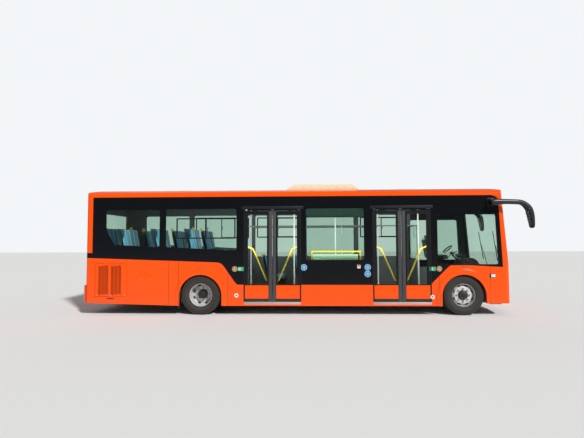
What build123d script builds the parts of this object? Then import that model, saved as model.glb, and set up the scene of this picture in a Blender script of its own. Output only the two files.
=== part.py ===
from build123d import *
from math import cos, radians, sin
import os

os.makedirs("parts", exist_ok=True)

# A two-door midi city bus. Millimetres, +X forward, +Z up, doors on the -Y side,
# origin on the ground in the middle of the whole outline, mirrors included.

# Driving sizes
wheelbase = 5770
rear_overhang = 2630
front_corner_reach = 985
front_bulge = 115
mirror_reach = 1485
half_width = 1250
wall = 45
skirt_bottom = 205
bumper_bottom = 265
roof_crown = 2865
shoulder_drop = 120
cove_drop = 245
cove_flat = 12
roof_skin = 40
shoulder_inset = 115
shoulder_facets = 4
crown_facets = 5
belt_height = 1087
front_rake = 140
corner_radius = 130
bumper_step = 45
bumper_top = 650
glass_thickness = 8
seat_gap = 0.3
margin = 50
far = half_width + margin
sky = roof_crown + margin

roof_shoulder = roof_crown - shoulder_drop
cove_bottom = roof_crown - cove_drop
front_axle_x = (rear_overhang + wheelbase - mirror_reach) / 2
rear_axle_x = front_axle_x - wheelbase
rear_end_x = rear_axle_x - rear_overhang
rear_face_x = rear_end_x + bumper_step
front_corner_x = front_axle_x + front_corner_reach
front_face_x = front_corner_x + front_bulge
nose_x = front_face_x + margin
tail_x = rear_end_x - margin
inner_width = half_width - wall

# Wheels
tyre_radius = 433.5
tyre_width = 265
tyre_inset = 160
twin_spacing = 295
bead_radius = 250
rim_wall = 12
kingpin_inset = 120
wheel_facets = 32
tyre_plane_y = half_width - tyre_inset
kingpin_y = tyre_plane_y - kingpin_inset
arch_half_length = 475
arch_top = 2 * tyre_radius + 18

# Floor
floor_top = 275
floor_plate = 30
raised_floor_top = 2 * tyre_radius + 53
raised_floor_front_x = rear_axle_x + 862
front_box_half_length = 560
front_box_depth = 620
rear_box_half_length = 490
rear_box_depth = 650
box_wall = 12
box_top = 2 * tyre_radius + 63

# Doorways
door_width = 1250
rear_door_x = rear_axle_x + 974
front_door_x = front_axle_x - 707 - door_width
sill_bottom = 235
sill_top = 290
door_top = cove_bottom - 285
leaf_bottom = 300
leaf_top = door_top - 47
leaf_thickness = 32
leaf_face_y = half_width - 5
jamb_gap = 12
meeting_gap = 10
pillar_radius = 14
pillar_setback = 34
pivot_line_y = half_width - 72
roller_setback = 50
swing_limit = 80
arm_thickness = 13
arm_half_width = 15
leaf_width = (door_width - 2 * jamb_gap - meeting_gap) / 2
arm_length = (pillar_setback + leaf_width - roller_setback) / 2

# Heights and places of the windows, the lid and the flap
glass_top = cove_bottom - 265
low_glass_bottom = 1200
mask_split_low_x = front_corner_x - 142
mask_split_high_x = front_corner_x - 223
rear_pillar_width = 150
windscreen_bottom = 960
windscreen_top = cove_bottom - 270
windscreen_half = 1120
sign_half = 940
sign_bottom = windscreen_top + 35
sign_top = cove_bottom - 20
rear_window_bottom = raised_floor_top + 580
rear_window_top = cove_bottom - 320
rear_window_half = 900
lid_bottom = bumper_top + 30
lid_top = 1330
lid_half = 880
lid_thickness = 30
flap_rear_x = rear_face_x + 213
flap_front_x = rear_face_x + 945
flap_bottom = 397
flap_top = raised_floor_top + 230
flap_thickness = 26
hinged_gap = 6


def box(x0, x1, y0, y1, z0, z1):
    return Solid.make_box(x1 - x0, y1 - y0, z1 - z0, Plane(origin=(x0, y0, z0)))


def side_prism(points, y0, y1):
    # points are (x, z)
    outline = Wire.make_polygon([(x, y0, z) for x, z in points], close=True)
    return Solid.extrude(Face(outline), Vector(0, y1 - y0, 0))


def front_prism(points, x0, x1):
    # points are (y, z)
    outline = Wire.make_polygon([(x0, y, z) for y, z in points], close=True)
    return Solid.extrude(Face(outline), Vector(x1 - x0, 0, 0))


def flat_ring(centre, along, radius, sides):
    plane = Plane(origin=centre, z_dir=along)
    turns = [radians(360 * count / sides) for count in range(sides)]
    corners = [Vector(radius * cos(turn), radius * sin(turn), 0) for turn in turns]
    return Wire.make_polygon([plane.from_local_coords(corner) for corner in corners], close=True)


def rod(start, end, radius, sides=0):
    # round, or with flat sides where the bar only has to look round
    along = Vector(end) - Vector(start)
    if sides:
        return Solid.extrude(Face(flat_ring(start, along, radius, sides)), along)
    return Solid.make_cylinder(radius, along.length, Plane(origin=start, z_dir=along))


def pipe(points, radius, sides):
    # straight runs with mitred corners
    along = Vector(points[1]) - Vector(points[0])
    ring = flat_ring(points[0], along, radius, sides)
    return Solid.sweep(ring, Wire.make_polygon(points, close=False), transition=Transition.RIGHT)


def turned(profile, side, axle_x):
    # a closed profile of (radius, distance outwards), turned round the wheel's axis in flat facets
    turns = [radians(360 * count / wheel_facets) for count in range(wheel_facets + 1)]

    def at(point, turn):
        radius, out = point
        x = axle_x + radius * cos(turn)
        return (x, side * (tyre_plane_y + out), tyre_radius + radius * sin(turn))

    faces = []
    for near, ahead in zip(profile, profile[1:] + profile[:1]):
        if near[0] == 0 and ahead[0] == 0:
            continue
        for turn, after in zip(turns, turns[1:]):
            corners = [at(near, turn), at(ahead, turn), at(ahead, after), at(near, after)]
            if ahead[0] == 0:
                corners.pop(2)
            if near[0] == 0:
                corners.pop(3)
            faces.append(Face(Wire.make_polygon(corners, close=True)))
    return Solid(Shell(faces))


def mirrored(shape):
    return shape.mirror(Plane.XZ)


def both_sides(shape):
    return [shape, mirrored(shape)]


def merge(shapes):
    first, *rest = shapes
    return first.fuse(*rest) if rest else first


def save(name, shapes):
    solids = []
    for shape in shapes if isinstance(shapes, list) else [shapes]:
        solids.extend(shape.solids())
    for solid in solids:
        solid.label = name
    whole = solids[0] if len(solids) == 1 else Compound(children=solids)
    whole.label = name
    export_step(whole, "parts/" + name + ".step")


# Body shell: one outline in plan that leans back above the belt, cut by the roof's section
# and rounded over at both ends. Round-over tables: (in from the end, down from the crown)
nose_round = [(-30, 235), (25, 190), (80, 120), (165, 60), (300, 18), (480, -10)]
tail_round = [(-60, 330), (12, 130), (40, 75), (95, 32), (190, -10)]


def plan_face(inset, z):
    side = half_width - inset
    corner = front_corner_x - inset
    rear = rear_face_x + inset
    base = Polyline((corner, side, z), (rear, side, z), (rear, -side, z), (corner, -side, z))
    nose = (front_face_x - inset, 0, z)
    nose_arc = ThreePointArc((corner, -side, z), nose, (corner, side, z))
    face = Face(Wire(base.edges() + nose_arc.edges()))
    front = [v for v in face.vertices() if v.X > 0]
    face = face.fillet_2d(corner_radius - inset, front)
    back = [v for v in face.vertices() if v.X < rear + 1]
    return face.fillet_2d(corner_radius / 2 - inset / 2, back)


def section_face(inset, x):
    # flat facets: a straight side, a rounded shoulder, then the shallow crown
    drop = roof_skin if inset else 0
    side = half_width - inset
    start = cove_bottom + cove_flat
    shoulder_y = half_width - shoulder_inset - inset
    shoulder_z = roof_shoulder - drop
    rise = shoulder_z - start
    half = [(side, 0)]
    for step in range(shoulder_facets + 1):
        turn = radians(90 * step / shoulder_facets)
        half.append((shoulder_y + (side - shoulder_y) * cos(turn), start + rise * sin(turn)))
    for step in range(1, crown_facets + 1):
        share = 1 - step / crown_facets
        half.append((shoulder_y * share, shoulder_z + shoulder_drop * (1 - share**2)))
    other = [(-y, z) for y, z in reversed(half[:-1])]
    return Face(Wire.make_polygon([(x, y, z) for y, z in half + other], close=True))


def rounded_ends(inset):
    crown = roof_crown - (roof_skin if inset else 0)
    nose = front_face_x - front_rake - inset
    tail = rear_face_x + inset
    points = [(tail_x, 0)]
    points += [(tail + back, crown - down) for back, down in tail_round]
    points += [(nose - back, crown - down) for back, down in reversed(nose_round)]
    points += [(nose_x, crown - nose_round[0][1] - front_rake), (nose_x, 0)]
    return side_prism(points, -far, far)


def body_solid(inset):
    section = section_face(inset, tail_x)
    tube = Solid.extrude(section, Vector(nose_x - tail_x, 0, 0))
    # the tail stands upright; the nose leans back above the belt
    upright = Solid.extrude(plan_face(inset, 0), Vector(0, 0, sky))
    tail = upright.intersect(box(tail_x, 0, -far, far, 0, sky)).solids()[0]
    lower = upright.intersect(box(0, nose_x, -far, far, 0, belt_height)).solids()[0]
    leaning = Solid.extrude(plan_face(inset, belt_height), Vector(-front_rake, 0, sky - belt_height))
    upper = leaning.intersect(box(0, nose_x, -far, far, belt_height, sky)).solids()[0]
    whole = tail.fuse(lower, upper).solids()[0]
    whole = whole.intersect(tube).solids()[0]
    return whole.intersect(rounded_ends(inset)).solids()[0]


outside = body_solid(0)
inside = body_solid(wall)
glass_back = body_solid(glass_thickness)
rear_mask_x = rear_face_x + rear_pillar_width


def skin(space, back=inside):
    # the part of the shell that lies in a space
    return outside.intersect(space).solids()[0].cut(back)


# Everything ahead of the leaning pillar line and below the cove is the front mask
front_space = side_prism(
    [
        (mask_split_low_x, bumper_bottom),
        (mask_split_low_x, belt_height),
        (mask_split_high_x, cove_bottom),
        (nose_x, cove_bottom),
        (nose_x, bumper_bottom),
    ],
    -far,
    far,
)
rear_space = box(tail_x, rear_mask_x, -far, far, bumper_bottom, cove_bottom)
roof_space = box(tail_x, nose_x, -far, far, cove_bottom, sky)


def arch_wire(axle_x, lip, y, low):
    # a round arch about the wheel with straight legs down to the skirt
    reach = arch_half_length + lip
    rear, front = axle_x - reach, axle_x + reach
    rise = ThreePointArc((rear, y, tyre_radius), (axle_x, y, arch_top + lip), (front, y, tyre_radius))
    legs = Polyline((front, y, tyre_radius), (front, y, low), (rear, y, low), (rear, y, tyre_radius))
    return Wire(rise.edges() + legs.edges())


# Wheel arches: axle place, width of the raised lip, width of its slope, how far it stands out
arches = [(front_axle_x, 135, 40, 14), (rear_axle_x, 100, 35, 8)]

# Windows as corner points (x, z)
rear_window_x = rear_face_x + 436
rear_split_x = rear_axle_x - 913
second_window_x = rear_axle_x - 790
second_window_end_x = rear_axle_x + 812
second_window_bottom = raised_floor_top + 490
second_window_rise = 80
middle_start_x = rear_door_x + door_width + 110
middle_end_x = front_door_x - 188
cab_window_x = front_axle_x - 563
cab_window_top = cove_bottom - 417
cab_window_bottom = 1101
rear_window_shape = [
    (rear_window_x, glass_top - 18),
    (rear_split_x, glass_top - 12),
    (rear_split_x, second_window_bottom + second_window_rise),
    (rear_window_x + 192, second_window_bottom + second_window_rise + 54),
    (rear_window_x + 8, second_window_bottom + 457),
]
second_window_shape = [
    (second_window_x, glass_top),
    (second_window_end_x, glass_top),
    (second_window_end_x, second_window_bottom),
    (second_window_x, second_window_bottom + second_window_rise),
]
cab_window_shape = [
    (cab_window_x, cab_window_top),
    (mask_split_high_x - 50, cab_window_top),
    (mask_split_low_x - 88, cab_window_bottom),
    (cab_window_x, cab_window_bottom),
]


def pane_corners(x0, x1):
    return [(x0, glass_top), (x1, glass_top), (x1, low_glass_bottom), (x0, low_glass_bottom)]


right_windows = [
    rear_window_shape,
    second_window_shape,
    pane_corners(middle_start_x, middle_end_x),
    cab_window_shape,
]
# the left side has low windows in place of the doors, evenly spaced
low_panes = 3
pane_gap = 110
low_panes_x = second_window_end_x + pane_gap
low_pane_pitch = (cab_window_x - low_panes_x) / low_panes
left_windows = [rear_window_shape, second_window_shape, cab_window_shape]
for count in range(low_panes):
    pane_x = low_panes_x + count * low_pane_pitch
    left_windows.append(pane_corners(pane_x, pane_x + low_pane_pitch - pane_gap))
doorway_starts = {"rear": rear_door_x, "front": front_door_x}

# Hinge lines of the side flap and the engine lid, each held by fixed lugs with round barrels
hinge_radius = 5
lug_length = 30
lug_end_gap = 110
notch_depth = 14
flap_hinge_z = flap_top - hinged_gap
flap_lug_starts = [flap_rear_x + lug_end_gap, flap_front_x - lug_end_gap - lug_length]
lid_hinge_z = lid_top - hinged_gap
lid_lug_starts = [lug_end_gap - lid_half, -lug_length / 2, lid_half - lug_end_gap - lug_length]


def flap_lugs():
    lugs = []
    for x in flap_lug_starts:
        end = x + lug_length
        lugs.append(rod((x, half_width, flap_hinge_z), (end, half_width, flap_hinge_z), hinge_radius))
        web_y = half_width - hinge_radius, half_width + hinge_radius
        lugs.append(box(x, end, *web_y, flap_hinge_z, flap_top))
    return lugs


def lid_lugs():
    lugs = []
    for y in lid_lug_starts:
        end = y + lug_length
        lugs.append(rod((rear_face_x, y, lid_hinge_z), (rear_face_x, end, lid_hinge_z), hinge_radius))
        web_x = rear_face_x - hinge_radius, rear_face_x + hinge_radius
        lugs.append(box(*web_x, y, end, lid_hinge_z, lid_top))
    return lugs


# The skirt rises behind the rear arch and ahead of the front one
skirt_rise_end_x = rear_axle_x - 490
front_skirt_x = front_axle_x + arch_half_length
rear_skirt_cut = [
    (tail_x, 0),
    (tail_x, bumper_bottom),
    (rear_face_x, bumper_bottom),
    (skirt_rise_end_x, skirt_bottom),
    (skirt_rise_end_x, 0),
]


def side_wall(windows, right):
    # built on the left, mirrored for the right
    wall_box = box(rear_mask_x, mask_split_low_x, inner_width, half_width, skirt_bottom, cove_bottom)
    plate = wall_box.cut(front_space)
    for shape in windows:
        plate = plate.cut(side_prism(shape, 0, far))
    if right:
        plate = plate.cut(box(flap_rear_x, flap_front_x, 0, far, flap_bottom, flap_top))
        for start in doorway_starts.values():
            plate = plate.cut(box(start, start + door_width, 0, far, sill_bottom, door_top))
    for axle_x, lip, slope, reach in arches:
        foot = arch_wire(axle_x, lip, half_width, skirt_bottom)
        crest = arch_wire(axle_x, lip - slope, half_width + reach, skirt_bottom)
        plate = plate.fuse(Solid.make_loft([foot, crest], True))
    for axle_x, lip, slope, reach in arches:
        opening = Solid.extrude(Face(arch_wire(axle_x, 0, 0, 0)), Vector(0, far, 0))
        plate = plate.cut(opening)
    plate = plate.cut(side_prism(rear_skirt_cut, 0, far))
    plate = plate.cut(box(front_skirt_x - 1, nose_x, 0, far, 0, bumper_bottom))
    if right:
        plate = mirrored(merge([plate] + flap_lugs()))
    return plate


save("side_wall_right", side_wall(right_windows, True))
save("side_wall_left", side_wall(left_windows, False))


def side_panes(windows):
    return [side_prism(shape, half_width - glass_thickness, half_width) for shape in windows]


save("side_glass_right", [mirrored(pane) for pane in side_panes(right_windows)])
save("side_glass_left", side_panes(left_windows))

# Front mask with the openings for the windscreen, the sign, the headlamps and the air intake
screen_corner = 170
screen_corner_rise = 90
mask_back_x = mask_split_high_x - 100
screen_cutter = front_prism(
    [
        (-windscreen_half, windscreen_bottom + screen_corner_rise),
        (screen_corner - windscreen_half, windscreen_bottom),
        (windscreen_half - screen_corner, windscreen_bottom),
        (windscreen_half, windscreen_bottom + screen_corner_rise),
        (windscreen_half, windscreen_top),
        (-windscreen_half, windscreen_top),
    ],
    mask_back_x,
    nose_x,
)
sign_cutter = box(mask_back_x, nose_x, -sign_half, sign_half, sign_bottom, sign_top)
lamp_radius = 72
lamp_height = 590
lamp_sides = 16
lamp_places = [845, 1035]
lamp_back_x = front_corner_x - 150
lamp_cutters = [
    rod((lamp_back_x, y, lamp_height), (nose_x, y, lamp_height), lamp_radius, lamp_sides)
    for y in lamp_places + [-y for y in lamp_places]
]
intake_half = 480
intake_slots = [(400, 432), (456, 488), (512, 544)]
intake_cutters = [box(lamp_back_x, nose_x, -intake_half, intake_half, *rows) for rows in intake_slots]
save("front_mask", skin(front_space).cut(screen_cutter, sign_cutter, *lamp_cutters, *intake_cutters))
save("windscreen", skin(screen_cutter, glass_back))
save("destination_sign", skin(sign_cutter))

# Rear mask with the rear window, the engine lid's opening, the bumper and the tail lamps
rear_mask = skin(rear_space)
pocket_x = rear_face_x + wall + 20
window_cutter = box(
    tail_x, pocket_x, -rear_window_half, rear_window_half, rear_window_bottom, rear_window_top
)
lid_cutter = box(tail_x, pocket_x, -lid_half, lid_half, lid_bottom, lid_top)
tail_lamp_bottom = 760
tail_lamp_top = 1300
tail_lamp_inner = 960
tail_lamp_outer = 1100
tail_lamp_proud = 6
tail_lamp_rows = [tail_lamp_bottom, tail_lamp_top]
tail_cutters = both_sides(
    box(tail_x, pocket_x, tail_lamp_inner, tail_lamp_outer, *tail_lamp_rows)
)
bumper_half = half_width - 3
bumper = box(rear_end_x, rear_face_x + 5, -bumper_half, bumper_half, bumper_bottom, bumper_top)
bumper_corner = bumper_step - 5
bumper_edges = bumper.edges().filter_by(Axis.Z).sort_by(Axis.X)[:2]
rear_mask = rear_mask.cut(window_cutter, lid_cutter, *tail_cutters)
rear_mask = rear_mask.fuse(bumper.chamfer(bumper_corner, None, bumper_edges))
save("rear_mask", merge([rear_mask] + lid_lugs()))
save("rear_window", skin(window_cutter, glass_back))
lamp_slab = box(rear_face_x - tail_lamp_proud, rear_face_x + wall, -far, far, *tail_lamp_rows)
tail_lamps = [cutter.intersect(lamp_slab) for cutter in tail_cutters]
headlamps = [skin(cutter) for cutter in lamp_cutters]
save("lamps", [solid for group in tail_lamps + headlamps for solid in group.solids()])
# The roof is five panels: two domes, two cove panels and the crown between them
roof = skin(roof_space)
front_dome_x = front_face_x - front_rake - 230
cove_panel_y = inner_width - shoulder_inset
roof_panels = [
    box(tail_x, rear_mask_x, -far, far, cove_bottom, sky),
    box(front_dome_x, nose_x, -far, far, cove_bottom, sky),
    box(rear_mask_x, front_dome_x, -cove_panel_y, cove_panel_y, cove_bottom, sky),
    box(rear_mask_x, front_dome_x, cove_panel_y, far, cove_bottom, sky),
    box(rear_mask_x, front_dome_x, -far, -cove_panel_y, cove_bottom, sky),
]
save("roof", [solid for panel in roof_panels for solid in roof.intersect(panel).solids()])

# Roof fittings sit on the crown: (rear x, front x, half width, slope of the ends, height)
roof_fittings = [
    (front_axle_x - 3875, front_axle_x - 2215, 620, 150, 135),
    (rear_axle_x - 1100, rear_axle_x - 420, 340, 30, 40),
    (front_axle_x - 1350, front_axle_x - 670, 340, 30, 40),
]
fittings = []
for x0, x1, half, slope, height in roof_fittings:
    top = roof_crown + height
    points = [(x0, roof_shoulder), (x0 + slope, top), (x1 - slope, top), (x1, roof_shoulder)]
    fittings.extend(side_prism(points, -half, half).cut(outside).solids())
save("roof_fittings", fittings)

# Floor: flat panels that meet edge to edge, so that the spaces under and beside them stay free
plate_bottom = floor_top - floor_plate
floor_front_x = front_corner_x - 180
box_inner_y = half_width - front_box_depth
box_rear_x = front_axle_x - front_box_half_length
box_front_x = front_axle_x + front_box_half_length
strip_half = box_inner_y - box_wall
low_panels = [
    (raised_floor_front_x, box_rear_x - box_wall, inner_width),
    (box_rear_x - box_wall, box_front_x + box_wall, strip_half),
    (box_front_x + box_wall, floor_front_x, inner_width),
]
save("floor", [box(x0, x1, -half, half, plate_bottom, floor_top) for x0, x1, half in low_panels])

# Wheel boxes: an inner wall, two end walls and a top each
front_box_panels = [
    box(box_rear_x, box_front_x, strip_half, box_inner_y, plate_bottom, box_top - box_wall),
    box(box_rear_x - box_wall, box_rear_x, strip_half, inner_width, plate_bottom, box_top - box_wall),
    box(box_front_x, box_front_x + box_wall, strip_half, inner_width, plate_bottom, box_top - box_wall),
    box(
        box_rear_x - box_wall, box_front_x + box_wall, strip_half, inner_width, box_top - box_wall, box_top
    ),
]
save("front_wheel_boxes", [solid for panel in front_box_panels for solid in both_sides(panel)])

raised_bottom = raised_floor_top - floor_plate
rear_box_y = half_width - rear_box_depth
rear_box_bottom = plate_bottom + 60
rear_box_rear_x = rear_axle_x - rear_box_half_length
rear_box_front_x = rear_axle_x + rear_box_half_length
axle_slot_half = 95
axle_slot_top = tyre_radius + 127
slot_rear_x = rear_axle_x - axle_slot_half
slot_front_x = rear_axle_x + axle_slot_half
inner_wall = rear_box_y - box_wall, rear_box_y
end_wall = rear_box_y - box_wall, inner_width
rear_box_panels = [
    box(rear_box_rear_x, slot_rear_x, *inner_wall, rear_box_bottom, raised_bottom),
    box(slot_front_x, rear_box_front_x, *inner_wall, rear_box_bottom, raised_bottom),
    box(slot_rear_x, slot_front_x, *inner_wall, axle_slot_top, raised_bottom),
    box(rear_box_rear_x - box_wall, rear_box_rear_x, *end_wall, rear_box_bottom, raised_bottom),
    box(rear_box_front_x, rear_box_front_x + box_wall, *end_wall, rear_box_bottom, raised_bottom),
]
save("rear_wheel_boxes", [solid for panel in rear_box_panels for solid in both_sides(panel)])

# Raised rear: deck, two steps with risers and cheeks, and the bench base over the engine
step_depth = 260
step_half = 300
step_count = 2
sheet = 20
bench_rear_x = rear_face_x + wall
bench_front_x = rear_face_x + 548
bench_top = raised_floor_top + 430
bench_side = inner_width - corner_radius / 2
step_rise = (raised_floor_top - floor_top) / (step_count + 1)
steps_rear_x = raised_floor_front_x - step_count * step_depth
riser = raised_floor_front_x - sheet, raised_floor_front_x
deck = raised_bottom, raised_floor_top
platform = [box(bench_front_x, steps_rear_x - sheet, -step_half, step_half, *deck)]
for y0, y1 in ((step_half, inner_width), (-inner_width, -step_half)):
    platform.append(box(bench_front_x, raised_floor_front_x, y0, y1, *deck))
    platform.append(box(*riser, y0, y1, plate_bottom, raised_bottom))
for y0, y1 in ((step_half, step_half + sheet), (-step_half - sheet, -step_half)):
    platform.append(box(steps_rear_x, riser[0], y0, y1, rear_box_bottom, raised_bottom))
for count in range(step_count + 1):
    riser_x = raised_floor_front_x - count * step_depth
    foot = plate_bottom if count == 0 else floor_top + count * step_rise - sheet
    top = floor_top + (count + 1) * step_rise
    platform.append(box(riser_x - sheet, riser_x, -step_half, step_half, foot, top))
    if count < step_count:
        platform.append(box(riser_x - step_depth, riser_x - sheet, -step_half, step_half, top - sheet, top))
bench_sheet = bench_top - sheet, bench_top
platform.append(box(bench_rear_x, rear_mask_x, -bench_side, bench_side, *bench_sheet))
platform.append(box(rear_mask_x, bench_front_x, -inner_width, inner_width, *bench_sheet))
bench_face = raised_bottom, bench_top - sheet
platform.append(box(bench_front_x - sheet, bench_front_x, -inner_width, inner_width, *bench_face))
# a ledge closes the flap's opening where it stands above the deck
ledge_depth = 105
ledge = raised_floor_top, flap_top + 30
platform.append(box(bench_front_x, flap_front_x + 40, -inner_width, ledge_depth - inner_width, *ledge))
save("rear_platform", platform)

# Frame: two rails under the low floor that kick up over the rear axle, and cross members
rail_y = 380
rail_width = 60
rail_height = 85
rail_front_x = front_axle_x - 610
rear_rail_height = 100
kick_length = 300
kick_front_x = raised_floor_front_x - 60
kick_rear_x = kick_front_x - kick_length
rail_low = plate_bottom - rail_height
rear_rail_low = raised_bottom - rear_rail_height
frame_rear_x = rear_face_x + 200
low_rail = [(rail_front_x, rail_low), (kick_front_x, rail_low), (kick_front_x, plate_bottom)]
low_rail.append((rail_front_x, plate_bottom))
kick = [(kick_front_x, rail_low), (kick_rear_x, rear_rail_low), (kick_rear_x, raised_bottom)]
kick += [(kick_rear_x + 80, raised_bottom), (kick_front_x, plate_bottom)]
high_rail = [(kick_rear_x, rear_rail_low), (frame_rear_x, rear_rail_low), (frame_rear_x, raised_bottom)]
high_rail.append((kick_rear_x, raised_bottom))
rail_sides = rail_y, rail_y + rail_width
members = []
for outline in (low_rail, kick, high_rail):
    members.extend(both_sides(side_prism(outline, *rail_sides)))
cross_width = 60
cross_places = [0.02, 0.26, 0.5, 0.74, 0.98]
cross_span = rail_front_x - cross_width - raised_floor_front_x
for share in cross_places:
    x = raised_floor_front_x + cross_span * share
    members.append(box(x, x + cross_width, -rail_y, rail_y, rail_low, plate_bottom))
engine_rear_x = rear_face_x + 250
engine_front_x = rear_face_x + 1450
engine_half = 350
engine_bottom = 380
engine_top = raised_bottom - 30
hanger_bottom = engine_bottom - 30
for x in (engine_rear_x + 100, engine_front_x - 160):
    hanger = box(x, x + cross_width, *rail_sides, hanger_bottom, rear_rail_low)
    members.extend(both_sides(hanger))
    members.append(box(x, x + cross_width, -rail_y, rail_y, hanger_bottom, engine_bottom))
save("chassis_frame", members)
engine = box(engine_rear_x, engine_front_x, -engine_half, engine_half, engine_bottom, engine_top)
save("engine_block", engine)
radiator_face_y = 20 - inner_width
radiator_depth = 100
radiator_rows = flap_bottom + 30, raised_bottom
radiator_span = flap_rear_x + 40, flap_front_x - 40
save("radiator", box(*radiator_span, radiator_face_y, radiator_face_y + radiator_depth, *radiator_rows))
tank_rear_x = rear_axle_x - 1900
tank_front_x = rear_axle_x - 700
tank_height = 330
tank_y = rail_y + rail_width + 80, inner_width - 75
save("fuel_tank", box(tank_rear_x, tank_front_x, *tank_y, raised_bottom - tank_height, raised_bottom))

# Wheels. A profile lists (radius, distance outwards from the tyre's middle plane)
bead_half = 98
tread_half = 104
tyre_half = tyre_width / 2
bulge_radius = (bead_radius + tyre_radius) / 2
tyre_profile = [
    (bead_radius, bead_half),
    (bulge_radius, tyre_half),
    (tyre_radius, tread_half),
    (tyre_radius, -tread_half),
    (bulge_radius, -tyre_half),
    (bead_radius, -bead_half),
]
inner_twin_profile = [(r, out - twin_spacing) for r, out in tyre_profile]
rim_outer = bead_radius - seat_gap
rim_inner = bead_radius - rim_wall
rim_half = 106
nut_ring_out = 62
nut_ring_radius = 186
spindle_radius = 30
stub_radius = 50
front_hub_half = 45
front_rim_profile = [
    (0, 104),
    (98, 98),
    (108, nut_ring_out),
    (nut_ring_radius, nut_ring_out),
    (rim_inner, 25),
    (rim_inner, rim_half),
    (rim_outer, rim_half),
    (rim_outer, -rim_half),
    (rim_inner, -rim_half),
    (rim_inner, 8),
    (60, front_hub_half),
    (60, -front_hub_half),
    (0, -front_hub_half),
]
disc_out = -twin_spacing / 2 + 10
disc_thickness = 22
disc_back = disc_out - disc_thickness
stub_end = -60
rear_rim_profile = [
    (0, -30),
    (98, -38),
    (106, disc_out),
    (rim_inner, disc_out),
    (rim_inner, rim_half),
    (rim_outer, rim_half),
    (rim_outer, -twin_spacing - rim_half),
    (rim_inner, -twin_spacing - rim_half),
    (rim_inner, disc_back),
    (0, disc_back),
]
hand_holes = 8
hand_hole_radius = 24
hand_hole_sides = 8


def finished_rim(profile, side, axle_x, ring, holes, bore_radius, bore_rows):
    # ring, holes: where the hand holes sit and run; bore_rows: where the bore runs
    def along(x, z, rows, *size):
        start, end = [(x, side * (tyre_plane_y + out), z) for out in rows]
        return rod(start, end, *size)

    rim = turned(profile, side, axle_x)
    bore = along(axle_x, tyre_radius, bore_rows, bore_radius + seat_gap)
    cutters = [bore]
    for count in range(hand_holes):
        turn = radians(360 / hand_holes * (count + 0.5))
        x = axle_x + ring * cos(turn)
        z = tyre_radius + ring * sin(turn)
        cutters.append(along(x, z, holes, hand_hole_radius, hand_hole_sides))
    return rim.cut(*cutters)


for side, name in ((-1, "right"), (1, "left")):
    front_bore = -front_hub_half - 1, front_hub_half
    front_rim = finished_rim(
        front_rim_profile, side, front_axle_x, 208, (-20, 80), spindle_radius, front_bore
    )
    save("wheel_front_" + name, front_rim)
    rear_bore = disc_back - 1, stub_end
    rear_rim = finished_rim(
        rear_rim_profile, side, rear_axle_x, 190, (disc_back - 20, disc_out + 20), stub_radius, rear_bore
    )
    save("wheel_rear_" + name, rear_rim)
    save("tyre_front_" + name, turned(tyre_profile, side, front_axle_x))
    twins = [turned(profile, side, rear_axle_x) for profile in (tyre_profile, inner_twin_profile)]
    save("tyres_rear_" + name, twins)

# Front axle: a dropped beam with a post and a kingpin boss at each end
beam_low = 150
beam_high = plate_bottom - 10
beam_half = 35
boss_radius = 32
boss_reach = 95
boss_low = tyre_radius - boss_reach
boss_high = tyre_radius + boss_reach
pin_radius = 15
pin_reach = 42
plain_sides = 16
post_points = [
    (0, beam_low),
    (kingpin_y - 110, beam_low),
    (kingpin_y - 62, beam_low + 100),
    (kingpin_y - 48, boss_low - 40),
    (kingpin_y - 48, boss_high),
    (kingpin_y - 85, boss_high),
    (kingpin_y - 170, beam_high),
    (0, beam_high),
]
web_half = 22
beam_pad = 380, 560


def upright_rod(y, low, high, *size):
    return rod((front_axle_x, y, low), (front_axle_x, y, high), *size)


axle_half = merge([
    front_prism(post_points, front_axle_x - beam_half, front_axle_x + beam_half),
    box(front_axle_x - web_half, front_axle_x + web_half, kingpin_y - 60, kingpin_y, boss_low, boss_high),
    upright_rod(kingpin_y, boss_low, boss_high, boss_radius, plain_sides),
    upright_rod(kingpin_y, boss_low - pin_reach, boss_high + pin_reach, pin_radius),
    box(front_axle_x - 60, front_axle_x + 60, *beam_pad, beam_high, plate_bottom),
])
save("front_axle", axle_half.fuse(mirrored(axle_half)))

# Steering knuckle: two lugs round the kingpin, a plate, the spindle, a brake plate, an arm
lug_radius = 38
lug_height = 32
knuckle_low = boss_low - seat_gap
knuckle_high = boss_high + seat_gap
plate_near = kingpin_y + 50
plate_far = kingpin_y + 75
spindle_end = tyre_plane_y + front_hub_half - seat_gap
brake_radius = 180
brake_rows = plate_near + 2, plate_near + 10
arm_reach = 185
steer_arm = knuckle_high + 8, knuckle_high + 28
knuckle_parts = []
for low, high in ((knuckle_low - lug_height, knuckle_low), (knuckle_high, knuckle_high + lug_height)):
    knuckle_parts.append(upright_rod(kingpin_y, low, high, lug_radius, plain_sides))
    knuckle_parts.append(box(front_axle_x - 25, front_axle_x + 25, kingpin_y, plate_far, low, high))
knuckle_rows = knuckle_low - lug_height, knuckle_high + lug_height
knuckle_parts.append(box(front_axle_x - 40, front_axle_x + 40, plate_near, plate_far, *knuckle_rows))
spindle_ends = [(front_axle_x, y, tyre_radius) for y in (plate_near, spindle_end)]
knuckle_parts.append(rod(*spindle_ends, spindle_radius))
brake_ends = [(front_axle_x, y, tyre_radius) for y in brake_rows]
knuckle_parts.append(rod(*brake_ends, brake_radius, plain_sides))
knuckle_parts.append(
    box(front_axle_x - arm_reach, front_axle_x, kingpin_y - 15, kingpin_y + 15, *steer_arm)
)
knuckle = merge(knuckle_parts).cut(upright_rod(kingpin_y, 0, box_top, pin_radius + seat_gap))
save("knuckle_left", knuckle)
save("knuckle_right", mirrored(knuckle))

# Rear axle: tube, differential, stub ends and the air bellows up to the rails
tube_reach = rear_box_y + 60
tube_radius = 70
casing_radius = 190
casing_rim = 110
casing_half = 90
bellow_radius = 85
stub_reach = tyre_plane_y + stub_end - seat_gap


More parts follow.
